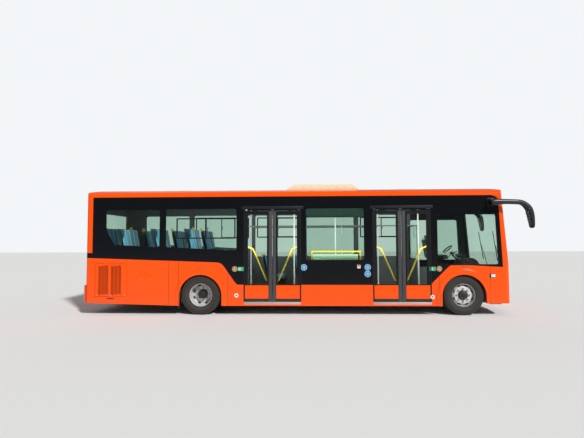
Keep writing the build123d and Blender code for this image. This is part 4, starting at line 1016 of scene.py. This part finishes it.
# Seats: a back and a cushion are blown up once, then copied to every place
padSize = {"seat": (0.404, 0.405, 0.06), "back": (0.404, 0.5, 0.056), "voxel": 0.016, "cap": 0.013,
           "frames": 20}


def inflate(pad):
    start = [vert.co.copy() for vert in pad.data.vertices]
    held = pad.vertex_groups.new(name="held")
    held.add([vert.index for vert in pad.data.vertices if vert.co.z < 0.006], 1.0, "REPLACE")
    cloth = pad.modifiers.new("cloth", "CLOTH")
    cloth.settings.use_pressure = True
    cloth.settings.uniform_pressure_force = 4.0
    cloth.settings.vertex_group_mass = "held"
    cloth.settings.effector_weights.gravity = 0.0
    cloth.point_cache.frame_start, cloth.point_cache.frame_end = 1, padSize["frames"]
    for count in range(1, padSize["frames"] + 1):
        bpy.context.scene.frame_set(count)
    pad.data = evaluated(pad)
    pad.vertex_groups.clear()
    for vert, before in zip(pad.data.vertices, start):
        step = vert.co - before
        if step.length > padSize["cap"]:
            vert.co = before + step.normalized() * padSize["cap"]
    bpy.context.scene.frame_set(1)


def blowUp(name, size):
    # a pad lies on its back: across, along, and up for the crown
    width, length, depth = size
    shape = bmesh.new()
    slab(shape, (-width / 2, -length / 2, 0), (width / 2, length / 2, depth), 0.022, 3)
    pad = asObject(shape, name)
    remesh = pad.modifiers.new("voxels", "REMESH")
    remesh.mode, remesh.voxel_size = "VOXEL", padSize["voxel"]
    pad.data = evaluated(pad)
    inflate(pad)
    shape = bmesh.new()
    shape.from_mesh(pad.data)
    bpy.data.objects.remove(pad)
    # sewn channels: cut lines beside the piping and pull the middle one down
    for line in (-piping["at"], piping["at"]):
        for off in (-0.009, 0.0, 0.009):
            bmesh.ops.bisect_plane(
                shape, geom=shape.verts[:] + shape.edges[:] + shape.faces[:], dist=0.0001,
                plane_co=(line + off, 0, 0), plane_no=(1, 0, 0),
            )
    shape.normal_update()
    for vert in shape.verts:
        if abs(abs(vert.co.x) - piping["at"]) < 0.001 and vert.co.z > 0.012:
            vert.co -= vert.normal * 0.0045
    panel = shape.loops.layers.uv.new("panel")
    for face in shape.faces:
        for corner in face.loops:
            corner[panel].uv = (corner.vert.co.x, corner.vert.co.y)
    mesh = bpy.data.meshes.new(name)
    shape.to_mesh(mesh)
    shape.free()
    return mesh


pads = {name: blowUp(name + "Pad", padSize[name]) for name in ("seat", "back")}
print("pads blown up")


def addPad(shape, pad, centre, ahead, up, stretch):
    # set a pad down: its length runs along `ahead` and its crown points up
    ahead, up = Vector(ahead).normalized(), Vector(up).normalized()
    turn = Matrix((ahead.cross(up), ahead, up)).transposed().to_4x4()
    extra = pads[pad].copy()
    extra.transform(Matrix.Translation(centre) @ turn @ Matrix.Diagonal((*stretch, 1)))
    shape.from_mesh(extra)
    bpy.data.meshes.remove(extra)


def addBack(shape, centre, lean, stretch):
    addPad(shape, "back", centre, lean, (lean.z, 0, -lean.x), stretch)


backLean = Vector((-0.105, 0, 0.535)).normalized()
benchLean = Vector((-0.08, 0, 0.5)).normalized()
acrossBus = Vector((0, 1, 0))
shellWidth, shellHeight = 0.424, 0.603


def addShell(shape, x, y, floorZ):
    # moulded shell: a pan, a tall back with rounded corners, and a rolled edge up each side
    half = shellWidth / 2
    slab(shape, (x - 0.235, y - half, floorZ + 0.388), (x + 0.236, y + half, floorZ + 0.409), 0.009)
    foot = Vector((x - 0.25, y, floorZ + 0.402))
    corners = [foot + acrossBus * side * half * share + backLean * up for side, share, up in
               ((-1, 1, 0), (1, 1, 0), (1, 0.96, shellHeight), (-1, 0.96, shellHeight))]
    plate(shape, corners, (0.013, 0, 0.002), radius=0.045, edge=0.004)
    for side in (-1, 1):
        start = foot + acrossBus * side * (half - 0.01) + Vector((0.012, 0, 0.02))
        bar(shape, start, start + backLean * (shellHeight - 0.07), 0.0095, 10)


def addLegs(shape, x, middleY, reach, floorZ):
    # two legs, a beam under the pans and feet bolted to the floor
    slab(shape, (x - 0.01, middleY - reach, floorZ + 0.352), (x + 0.034, middleY + reach, floorZ + 0.39),
         0.006)
    for side in (-1, 1):
        y = middleY + side * reach * 0.55
        bar(shape, (x + 0.01, y, floorZ + 0.004), (x + 0.01, y, floorZ + 0.36), 0.0185, 14)
        slab(shape, (x - 0.036, y - 0.038, floorZ + 0.0005), (x + 0.056, y + 0.038, floorZ + 0.0075), 0.002)


def addHandle(shape, x, y, floorZ):
    # grab handle over the back's aisle corner
    foot = Vector((x - 0.334, y, floorZ + 0.88))
    tip = foot + backLean * 0.145
    points = [foot, tip, tip + Vector((0.004, 0.055, 0.02)), tip + Vector((0.002, 0.12, 0.006)),
              foot + Vector((0, 0.12, 0)) + backLean * 0.09]
    for start, end in zip(points, points[1:]):
        bar(shape, start, end, 0.0115, 12)


def makeSeatRow(name, x, places, floorZ, handleY):
    cloth, shell, handles = bmesh.new(), bmesh.new(), bmesh.new()
    for y in places:
        seat = (x + 0.01, y, floorZ + 0.408)
        addPad(cloth, "seat", seat, (1, 0, 0.045), (-0.045, 0, 1), (0.98, 1.03, 0.92))
        addBack(cloth, (x - 0.24, y, floorZ + 0.735), backLean, (0.98, 1.02, 0.95))
        addShell(shell, x, y, floorZ)
    addLegs(shell, x, sum(places) / len(places), 0.4, floorZ)
    addHandle(handles, x, handleY, floorZ)
    row = keep(cloth, name + "Pads", "seatCloth", smooth=60, insteadOf=["passenger_seats"])
    keep(shell, name + "Shells", "seatShell", insteadOf=["passenger_seats"])
    keep(handles, name + "Handle", "railYellow")


rearFloor, lowFloor = 0.92, 0.275
for count, x in enumerate((-3.8625, -3.1025, -2.3425)):
    makeSeatRow("seatRowLeft%d" % (count + 1), x, (0.54, 0.98), rearFloor, 0.345)
    makeSeatRow("seatRowRight%d" % (count + 1), x, (-0.54, -0.98), rearFloor, -0.465)
for count, x in enumerate((-0.7525, 0.0175, 0.7875, 1.5575)):
    makeSeatRow("lowSeatRow%d" % (count + 1), x, (0.54, 0.98), lowFloor, 0.345)


def makeBench():
    # five places across the back over the engine
    cloth, shell = bmesh.new(), bmesh.new()
    for count in range(5):
        y = (count - 2) * 0.448
        addPad(cloth, "seat", (-4.492, y, 1.372), (1, 0, 0.065), (-0.065, 0, 1), (1.04, 0.68, 1.1))
        addBack(cloth, (-4.726, y, 1.7), benchLean, (1.04, 0.94, 0.92))
    slab(shell, (-4.65, -1.135, 1.3505), (-4.35, 1.135, 1.374), 0.006)
    corners = [(-4.772 - 0.016 * (z - 1.35), y, z) for y, z in rect(-1.135, 1.135, 1.352, 1.944)]
    plate(shell, corners, (0.024, 0, 0), radius=0.03, edge=0.004)
    row = keep(cloth, "benchPads", "seatCloth", smooth=60, insteadOf=["passenger_seats"])
    keep(shell, "benchShell", "seatShell", insteadOf=["passenger_seats"])


makeBench()
print("seats done")


def makeDriverSeat(x, y, low):
    cloth, shell = bmesh.new(), bmesh.new()
    addPad(cloth, "seat", (x, y, 1.176), (1, 0, 0.05), (-0.05, 0, 1), (1.18, 1.06, 1.08))
    addBack(cloth, (x - 0.246, y, 1.44), backLean, (1.16, 0.8, 1.15))
    addBack(cloth, (x - 0.296, y, 1.705), backLean, (0.66, 0.26, 1.05))
    slab(shell, (x - 0.225, y - 0.245, 1.15), (x + 0.225, y + 0.245, 1.18), 0.01)
    foot = Vector((x - 0.262, y, 1.17))
    corners = [foot + acrossBus * half + backLean * up for half, up in
               ((-0.235, 0), (0.235, 0), (0.205, 0.49), (-0.205, 0.49))]
    plate(shell, corners, (0.018, 0, 0.003), radius=0.05, edge=0.005)
    for side in (-1, 1):
        start = foot + Vector((0.008, side * 0.06, 0)) + backLean * 0.46
        bar(shell, start, start + backLean * 0.09, 0.007, 10)
        rail = y + side * 0.258
        slab(shell, (x - 0.21, rail - 0.006, 1.165), (x + 0.07, rail + 0.002, 1.225), 0.003)
    # bellows over the suspension, on a flat base
    for count in range(5):
        z = low + 0.03 + count * 0.036
        reach = 0.165 + (0.012 if count % 2 else 0.0)
        slab(shell, (x - reach, y - reach, z), (x + reach, y + reach, z + 0.035), 0.014, 3)
    slab(shell, (x - 0.19, y - 0.19, low + 0.0005), (x + 0.19, y + 0.19, low + 0.032), 0.006)
    pad = keep(cloth, "driverPads", "driverCloth", smooth=60, insteadOf=["driver_seat"])
    keep(shell, "driverSeatShell", "blackPlastic", insteadOf=["driver_seat"])


def makeDashboard(rear, front, low):
    shape = bmesh.new()
    # each moulding: (x, z) corners, where it starts and how far it runs across, corner radius and edge
    tall = [(rear + 0.001, 0.705), (rear + 0.03, 1.118), (rear + 0.09, 1.198), (front, 1.179), (front, low),
            (front - 0.118, low), (front - 0.149, 0.7)]
    flat = [(rear + 0.003, 0.76), (rear + 0.018, 0.948), (front, 0.948), (front, low), (front - 0.118, low),
            (front - 0.149, 0.706)]
    hood = [(rear + 0.04, 1.19), (rear + 0.03, 1.262), (rear + 0.11, 1.285), (front - 0.03, 1.215),
            (front - 0.02, 1.176)]
    cowl = [(front - 0.004, 0.95), (front - 0.004, 1.172), (4.33, 1.12), (4.38, 1.04), (4.395, 0.95)]
    lip = [(front - 0.1, 0.945), (front - 0.09, 1.045), (4.31, 1.05), (4.375, 1.01), (4.39, 0.95)]
    for corners, start, width, radius, edge in (
        (tall, 0.252, 0.926, 0.018, 0.014), (flat, -0.998, 1.246, 0.018, 0.014),
        (hood, 0.66, 0.48, 0.014, 0.01), (cowl, 0.27, 0.86, 0.014, 0.01), (lip, -1.1, 1.33, 0.014, 0.01),
    ):
        plate(shape, acrossAt(start, corners), (0, width, 0), radius=radius, edge=edge)
    # the shelf under the windscreen
    shelf = [(front - 0.004, -1.15), (4.37, -1.15), (4.42, -0.7), (4.445, 0.0), (4.42, 0.7), (4.37, 1.15),
             (front - 0.004, 1.15)]
    plate(shape, [(x, y, 0.905) for x, y in shelf], (0, 0, 0.05), edge=0.01)
    keep(shape, "dashMoulding", "dashPlastic", insteadOf=["dashboard"])
    # rows of rocker switches, and three round dials facing the driver
    shape = bmesh.new()
    half = Vector((0.006, 0.011, 0.017))
    out = Vector((-0.997, 0, 0.078)).normalized() * 0.002
    rockers = [(6, 0.3, 0.042, 1.035), (6, 0.3, 0.042, 0.965), (5, 1.02, 0.03, 1.02)]
    for count, start, step, height in rockers:
        for place in range(count):
            foot = Vector((rear + 0.03 - (1.118 - height) * 0.0728, start + place * step, height)) + out
            slab(shape, foot - half, foot + half, 0.003, material=1)
    slope = Vector((-0.8, 0, 0.6)).normalized()
    for y, radius in ((0.795, 0.04), (0.9, 0.028), (1.005, 0.04)):
        foot = Vector((rear + 0.052, y, 1.15))
        bar(shape, foot - slope * 0.004, foot + slope * 0.012, radius + 0.007, 32)
        bar(shape, foot + slope * 0.01, foot + slope * 0.014, radius, 32, material=2)
    keep(shape, "dashSwitches", ["blackPlastic", "greyPlastic", "blackGlass"])


def makeSteering(centre, foot, radius):
    lean = (centre - foot).normalized()
    shape = bmesh.new()
    ring = [(0.013 + 0.0125 * math.cos(turn), radius + 0.0125 * math.sin(turn))
            for turn in [math.tau * count / 12 for count in range(12)]]
    turned(shape, ring, centre, lean, 64)
    across = lean.cross(acrossBus)
    # spokes: angle, start and end as (outwards, along the column), radius, material
    for angle, inner, outer, thick, look in (
        *[(angle, (0.035, 0.008), (0.205, 0.012), 0.0105, 0) for angle in (90, 210, 330)],
        *[(angle, (0.05, 0.004), (0.12, 0.01), 0.018, 1) for angle in (205, 335)],
    ):
        way = acrossBus * math.cos(math.radians(angle)) + across * math.sin(math.radians(angle))
        bar(shape, centre + way * inner[0] + lean * inner[1], centre + way * outer[0] + lean * outer[1],
            thick, 12, look)
    boss = [(-0.02, 0.0), (-0.02, 0.03), (-0.012, 0.046), (0.008, 0.056), (0.018, 0.05), (0.022, 0.03),
            (0.022, 0.0)]
    turned(shape, boss, centre, lean, 40, material=1, closed=False)
    bar(shape, foot - lean * 0.01, centre - lean * 0.018, 0.021, 20, material=1)
    boot = [(0.0, 0.0), (0.0, 0.028), (0.02, 0.0275), (0.055, 0.025), (0.1, 0.0245), (0.105, 0.0)]
    turned(shape, boot, foot + lean * 0.01, lean, 24, material=1, closed=False)
    # a stalk on each side
    start = centre - lean * 0.05
    for way in (Vector((0.02, -0.16, 0.035)), Vector((0.02, 0.16, 0.035))):
        bar(shape, start, start + way, 0.006, 10, material=1)
        bar(shape, start + way * 0.72, start + way, 0.0095, 10, material=1)
    keep(shape, "steeringWheel", ["wheelGrip", "blackPlastic"], insteadOf=["dashboard"])


def makePartition(x0, x1, y0, y1):
    shape = bmesh.new()
    slab(shape, (x0, y0, 0.2755), (x1, y1, 1.148), 0.004)
    for low, high in ((0.32, 0.7), (0.74, 1.1)):
        slab(shape, (x0 - 0.0015, y0 + 0.06, low), (x0 + 0.004, y1 - 0.06, high), 0.003)
    keep(shape, "partitionPanel", "greyPlastic", insteadOf=["cab_partition"])
    shape = bmesh.new()
    slab(shape, (x0, y0, 2.001), (x1, y1, 2.0295), 0.006)
    for y in (y0 + 0.012, y1 - 0.016):
        slab(shape, (x0 + 0.002, y - 0.012, 1.146), (x1 - 0.002, y + 0.012, 2.003), 0.004)
    slab(shape, (x0 + 0.001, y0, 1.146), (x1 - 0.001, y1, 1.17), 0.004)
    keep(shape, "partitionFrame", "blackPlastic", insteadOf=["cab_partition"])
    shape = bmesh.new()
    slab(shape, (x0 + 0.009, y0 + 0.02, 1.16), (x1 - 0.009, y1 - 0.02, 2.004))
    keep(shape, "partitionPane", "clearGlass", insteadOf=["cab_partition"])


makeDriverSeat(3.5175, 0.9, 0.93)
makeDashboard(4.0395, 4.262, 0.276)
makeSteering(Vector((3.9075, 0.9, 1.27)), Vector((4.1375, 0.9, 0.997)), 0.2115)
makePartition(2.8407, 2.8653, 0.3005, 1.2045)
print("driver's place done")

# Lamps: chrome bowls with a bulb and a lens in the front mask, and stacked lamps at the back
headlamps = {"height": 0.59, "places": [(0.845, 4.5048, 4.4558), (1.035, 4.4785, 4.4275)]}
bowlOutline = [(0.001, 0.0), (0.001, 0.02), (0.006, 0.038), (0.02, 0.056), (0.04, 0.067), (0.042, 0.0695),
               (0.004, 0.0695), (-0.004, 0.04), (-0.004, 0.0)]
lensOutline = [(0.0, 0.0), (-0.001, 0.03), (-0.0035, 0.05), (-0.0085, 0.064), (-0.0125, 0.064),
               (-0.008, 0.05), (-0.005, 0.03), (-0.004, 0.0)]
rimOutline = [(-0.0135, 0.0635), (-0.002, 0.0635), (0.0005, 0.066), (0.0, 0.07), (-0.0135, 0.0705)]
tailParts = [(0.762, 0.9, "whiteLens"), (0.904, 1.13, "redLens"), (1.134, 1.298, "amberLens")]


def makeHeadlamps():
    z = headlamps["height"]
    bowl, glass, rim = bmesh.new(), bmesh.new(), bmesh.new()
    for y, face, back in headlamps["places"]:
        turned(bowl, bowlOutline, (back, y, z), (1, 0, 0), 40, closed=False)
        bar(bowl, (back + 0.001, y, z), (back + 0.018, y, z), 0.01, 20)
        turned(glass, lensOutline, (face + 0.0005, y, z), (1, 0, 0), 40, closed=False)
        turned(rim, rimOutline, (face - 0.002, y, z), (1, 0, 0), 48)
    for shape, name, look in (
        (bowl, "Bowls", "chrome"), (glass, "Lenses", "lampGlass"), (rim, "Rims", "blackPlastic"),
    ):
        flipped(shape)
        keep(shape, "headlamp" + name, look, insteadOf=["lamps"])


def makeTailLamps():
    shape = bmesh.new()
    for count, (low, high, look) in enumerate(tailParts):
        slab(shape, (-4.9033, 0.963, low), (-4.87, 1.097, high), 0.006, 3, material=count)
        for ring in (0.048, 0.034):
            flute = [(0.0, ring), (0.0016, ring), (0.0016, ring - 0.004), (0.0, ring - 0.004)]
            turned(shape, flute, (-4.9014, 1.03, (low + high) / 2), (-1, 0, 0), 32, material=count)
    slab(shape, (-4.9005, 0.9604, 0.7604), (-4.86, 1.0996, 1.2996), 0.003, material=3)
    flipped(shape)
    keep(shape, "tailLamps", [look for low, high, look in tailParts] + ["blackPlastic"], insteadOf=["lamps"])


def makeRoofFittings(rear, front, half, top):
    # the long cream pod with rounded ends and ribs, and two low hatches
    shape = bmesh.new()
    side = [(rear - 0.04, 2.834), (rear + 0.165, top), (front - 0.11, top), (front + 0.06, 2.834)]
    plate(shape, acrossAt(-half + 0.002, side), (0, 2 * half - 0.004, 0), radius=0.04, edge=0.035)
    # recessed panels between ribs along its flanks, a seam along its foot and fasteners
    ribs = bmesh.new()
    for place in range(7):
        x = rear + 0.235 + place * 0.198
        for y in (-half + 0.002, half - 0.002):
            slab(ribs, (x - 0.07, y - 0.0016, 2.868), (x + 0.07, y + 0.0016, 2.922), 0.0015)
    for y in (-0.42, -0.14, 0.14, 0.42):
        slab(ribs, (rear + 0.3, y - 0.045, top - 0.004), (front - 0.3, y + 0.045, top - 0.0002), 0.0015)
    for x in (rear + 0.09, -0.01, 0.4125, 0.835, front - 0.09):
        for y in (-half + 0.0005, half - 0.0005):
            bar(ribs, (x, y, 2.856), (x, y + math.copysign(0.0012, y), 2.856), 0.008, 12, material=1)
    keep(shape, "roofPod", "creamPaint", insteadOf=["roof_fittings"])
    keep(ribs, "roofPodRibs", ["creamPaint", "zinc"])
    hatch = bmesh.new()
    for x0, x1 in ((-3.4125, -2.7325), (2.1075, 2.7875)):
        slab(hatch, (x0 + 0.002, -0.338, 2.842), (x1 - 0.002, 0.338, 2.872), 0.01, 3)
        slab(hatch, (x0 + 0.05, -0.29, 2.866), (x1 - 0.05, 0.29, 2.88), 0.006, 3)
        for y in (-0.2, 0.2):
            slab(hatch, (x0 - 0.001, y - 0.03, 2.846), (x0 + 0.02, y + 0.03, 2.874), 0.003)
    keep(hatch, "roofHatches", "creamPaint", insteadOf=["roof_fittings"])


makeHeadlamps()
makeTailLamps()
makeRoofFittings(-0.4175, 1.2425, 0.62, 2.958)

# Mirrors: a foot, a horn-shaped arm that grows into the hanging head, and the glass
mirrorPath = [
    (4.02, 2.44, 0.05, 0.047), (4.05, 2.445, 0.062, 0.052), (4.126, 2.45, 0.074, 0.053),
    (4.264, 2.458, 0.058, 0.053), (4.42, 2.455, 0.055, 0.053), (4.56, 2.45, 0.055, 0.0545),
    (4.64, 2.442, 0.056, 0.06), (4.716, 2.412, 0.062, 0.07), (4.776, 2.366, 0.068, 0.084),
    (4.822, 2.315, 0.07, 0.096), (4.85, 2.254, 0.07, 0.104), (4.866, 2.18, 0.07, 0.107),
    (4.88, 2.1, 0.06, 0.108), (4.887, 2.01, 0.052, 0.107), (4.892, 1.94, 0.043, 0.102),
    (4.895, 1.905, 0.03, 0.085), (4.896, 1.888, 0.012, 0.055),
]


def eased(path, steps=3):
    # more stations along a path, on a smooth curve through the given ones
    stations = []
    for count in range(len(path) - 1):
        near = [path[min(max(count + shift, 0), len(path) - 1)] for shift in (-1, 0, 1, 2)]
        for share in (step / steps for step in range(steps)):
            stations.append(tuple(
                0.5 * (2 * b + (c - a) * share + (2 * a - 5 * b + 4 * c - d) * share ** 2
                       + (3 * b - a - 3 * c + d) * share ** 3)
                for a, b, c, d in zip(*near)
            ))
    return stations + [path[-1]]


def makeMirrors():
    shape = bmesh.new()
    path = eased(mirrorPath)
    ways = headings([Vector((x, 0, z)) for x, z, half, wide in path])
    lofted(shape, [
        (Vector((x, 1.4 - 0.055 * min(1.0, max(0.0, (x - 4.56) / 0.3)), z)), way, half, wide)
        for (x, z, half, wide), way in zip(path, ways)
    ], 24)
    flipped(shape)
    horns = keep(shape, "mirrorHorns", "hornPlastic", smooth=50, insteadOf=["mirrors"])
    # a flat recess in the back of each head, for the glass
    cutter = bmesh.new()
    flat = [(4.8755, 1.93), (4.8185, 2.19), (4.801, 2.262), (4.68, 2.262), (4.68, 1.93)]
    plate(cutter, acrossAt(1.22, flat), (0, 0.25, 0))
    flipped(cutter)
    carve(horns, cutter)
    foot = bmesh.new()
    wedge = [(4.0, 2.5), (4.048, 2.531), (4.124, 2.528), (4.124, 2.386), (4.06, 2.4)]
    plate(foot, acrossAt(panelY, wedge), (0, 0.098, 0), radius=0.014, edge=0.008)
    base = rect(3.984, 4.142, 2.552, 2.368)
    plate(foot, acrossAt(panelY, base), (0, 0.008, 0), radius=0.02, edge=0.003)
    # the joint where the head folds
    ring = [(-0.003, 0.0), (-0.003, 0.0545), (0.003, 0.0545), (0.003, 0.0)]
    for x in (4.17, 4.196):
        turned(foot, ring, (x, 1.4, 2.453), (1, 0, 0.04), 32, closed=False)
    flipped(foot)
    keep(foot, "mirrorFeet", "blackPlastic", insteadOf=["mirrors"])
    glass = bmesh.new()
    for low, high, near, far in ((1.945, 2.165, 4.8702, 4.822), (2.178, 2.254, 4.816, 4.8)):
        corners = [(near, 1.272, low), (near, 1.418, low), (far, 1.418, high), (far, 1.272, high)]
        plate(glass, corners, (-0.006, 0, -0.0012), radius=0.02)
    flipped(glass)
    keep(glass, "mirrorGlass", "mirrorGlass")


makeMirrors()
print("lamps, roof pod and mirrors done")


def makeInside():
    # two long rows of ceiling lights
    shape = bmesh.new()
    z = 2.7385
    for y in (-0.92, 0.92):
        for count in range(6):
            x = -4.3 + count * 1.36
            slab(shape, (x, y - 0.11, z - 0.03), (x + 1.22, y + 0.11, z + 0.004), 0.006)
            slab(shape, (x + 0.05, y - 0.055, z - 0.036), (x + 1.17, y + 0.055, z - 0.026), 0.004,
                 material=1)
    keep(shape, "ceilingLights", ["greyPlastic", "diffuser"])


def makeRearDetails():
    # a blank plate in its holder at each end: x of both, which way they face, and their heights
    shape = bmesh.new()
    for x, blankX, way, low, high, blankLow, blankHigh in (
        (-4.8977, -4.9015, -1, 1.35, 1.462, 1.359, 1.453), (4.5585, 4.5623, 1, 0.282, 0.39, 0.29, 0.382),
    ):
        holder = [(x, y, z) for y, z in rect(-0.262, 0.262, low, high)]
        plate(shape, holder, (way * 0.004, 0, 0), radius=0.01, edge=0.001)
        blank = [(blankX, y, z) for y, z in rect(-0.25, 0.25, blankLow, blankHigh)]
        plate(shape, blank, (way * 0.0015, 0, 0), radius=0.006, material=1)
    # reflectors under the tail lamps, and small locks beside them
    lock = [(0, 0), (0, 0.0125), (0.003, 0.011), (0.003, 0.0)]
    for side in (-1, 1):
        y = side * 1.0298
        slab(shape, (-4.902, y - 0.055, 0.692), (-4.8972, y + 0.055, 0.732), 0.002, material=2)
        turned(shape, lock, (-4.8976, side * 0.817, 0.73), (-1, 0, 0), 20, material=3, closed=False)
    keep(shape, "plateHolders", ["blackPlastic", "filmWhite", "redLens", "zinc"])


makeInside()
makeRearDetails()
print("inside and rear details done")

# The side flap over the radiator: pressed panel with slanted slots and a dark mesh behind
flap = {
    "rear": -4.6785, "front": -3.9585, "low": 0.403, "high": 1.144, "face": -1.25, "rows": 14,
    "pitch": 0.0455, "fall": 0.0375, "columns": [0.07, 0.148, 0.226, 0.354, 0.436, 0.518],
}


def makeFlap():
    shape = bmesh.new()
    rear, front, low, high, face = (flap[name] for name in ("rear", "front", "low", "high", "face"))
    slab(shape, (rear, face + 0.0003, low), (front, face + 0.02, high), 0.0035)
    panel = keep(shape, "grillePanel", "coachPaint", "grille_flap", insteadOf=["grille_flap"])
    cutter = bmesh.new()
    for count, column in enumerate(flap["columns"]):
        # each column carries on the slant of the one before it
        start = 0.03 + (-(count % 3) * flap["fall"]) % flap["pitch"]
        for row in range(flap["rows"]):
            x, z = rear + column, low + start + row * flap["pitch"]
            slot = [(x, z + 0.034), (x + 0.07, z), (x + 0.07, z + 0.029), (x, z + 0.063)]
            plate(cutter, acrossAt(face - 0.01, slot), (0, 0.04, 0), radius=0.005)
    # notches round the wall's two hinge lugs
    for x in (rear + 0.098, front - 0.14):
        slab(cutter, (x, face - 0.01, high - 0.014), (x + 0.042, face + 0.03, high + 0.01))
    carve(panel, cutter)
    shape = bmesh.new()
    slab(shape, (rear + 0.05, face + 0.0195, low + 0.02), (front - 0.1, face + 0.0225, high - 0.025))
    for column in (0.322, 0.0575, 0.618):
        x = rear + column
        slab(shape, (x - 0.006, face + 0.017, low + 0.036), (x + 0.006, face + 0.02, high - 0.041))
    start, end = (rear + 0.16, face + 0.0165, high - 0.012), (front - 0.16, face + 0.0165, high - 0.012)
    bar(shape, start, end, 0.005, 12, material=1)
    keep(shape, "grilleMesh", ["darkMesh", "zinc"], "grille_flap", insteadOf=["grille_flap"])


makeFlap()

# floor, light and camera
stage = {
    "floorSize": 60.0, "floor": (0.72, 0.72, 0.71, 1), "sky": (0.3, 0.3, 0.3, 1),
    "mirrored": (0.2, 0.24, 0.3, 1), "backdrop": (0.9, 0.92, 0.94, 1), "sun": 3.5, "fill": 0.12,
    "indoors": 30.0, "windowSide": 60.0,
}


def makeStage():
    shape = bmesh.new()
    bmesh.ops.create_grid(shape, x_segments=1, y_segments=1, size=stage["floorSize"])
    ground = asObject(shape, "studioFloor")
    shader, place = newMaterial("studioFloor")
    speck = blend(noise(place, 60.0), stage["floor"], (0.76, 0.76, 0.75, 1))
    fill(shader, {"Base Color": speck, "Roughness": 0.95, "Specular IOR Level": 0.1})
    ground.data.materials.append(materials["studioFloor"])


def addLamp(name, kind, energy, turn, **settings):
    lamp = bpy.data.lights.new(name, kind)
    lamp.energy = energy
    for label, value in settings.items():
        setattr(lamp, label, value)
    holder = bpy.data.objects.new(name, lamp)
    holder.rotation_euler = [math.radians(angle) for angle in turn]
    bpy.context.collection.objects.link(holder)
    return holder


def makeLight():
    world = bpy.data.worlds.new("softSky")
    bpy.context.scene.world = world
    world.use_nodes = True
    tree = world.node_tree
    tree.nodes.clear()
    out = tree.nodes.new("ShaderNodeOutputWorld")
    backdrop = addNode(tree, "ShaderNodeBackground")
    rays = {socket.name: Wire(tree, socket) for socket in addNode(tree, "ShaderNodeLightPath").outputs}
    level = blend(rays["Is Glossy Ray"], stage["sky"], stage["mirrored"])
    seen = rays["Is Camera Ray"] | rays["Is Transmission Ray"]
    plug(backdrop.inputs["Color"], blend(seen, level, stage["backdrop"]))
    tree.links.new(backdrop.outputs[0], out.inputs[0])
    addLamp("sun", "SUN", stage["sun"], (52, 0, 36), angle=math.radians(5.0))
    addLamp("fill", "SUN", stage["fill"], (60, 0, 190), angle=math.radians(40.0))
    # the panes stop the sun, so two soft panels inside stand for what comes through them
    for name, energy, place, turn, size in (
        ("cabinLight", stage["indoors"], (-0.2, 0.0, 2.55), (0, 0, 0), (8.0, 1.5)),
        ("windowLight", stage["windowSide"], (-0.2, -1.16, 1.75), (80, 0, 0), (8.0, 0.9)),
    ):
        holder = addLamp(name, "AREA", energy, turn, shape="RECTANGLE", size=size[0], size_y=size[1])
        holder.location = place
        holder.visible_camera = holder.visible_transmission = holder.visible_glossy = False


view = {"place": (0.0467, -10.9288, 1.6058), "yaw": 1.907, "pitch": 3.0, "roll": -0.185, "focal": 438.0,
        "width": 584}


def makeCamera():
    yaw, pitch, roll = (math.radians(view[name]) for name in ("yaw", "pitch", "roll"))
    ahead = Vector((-math.sin(yaw) * math.cos(pitch), math.cos(yaw) * math.cos(pitch), math.sin(pitch)))
    right = Vector((math.cos(yaw), math.sin(yaw), 0))
    up = right.cross(ahead)
    rolledRight = right * math.cos(roll) + up * math.sin(roll)
    rolledUp = up * math.cos(roll) - right * math.sin(roll)
    camera = bpy.data.cameras.new("camera")
    camera.sensor_width = 36
    camera.lens = view["focal"] / view["width"] * camera.sensor_width
    camera.clip_end = 200
    holder = bpy.data.objects.new("camera", camera)
    turn = Matrix((rolledRight, rolledUp, -ahead)).transposed().to_4x4()
    holder.matrix_world = Matrix.Translation(view["place"]) @ turn
    bpy.context.collection.objects.link(holder)
    bpy.context.scene.camera = holder


makeStage()
makeLight()
makeCamera()
bpy.context.scene.view_settings.view_transform = "Standard"
print("stage, light and camera done")
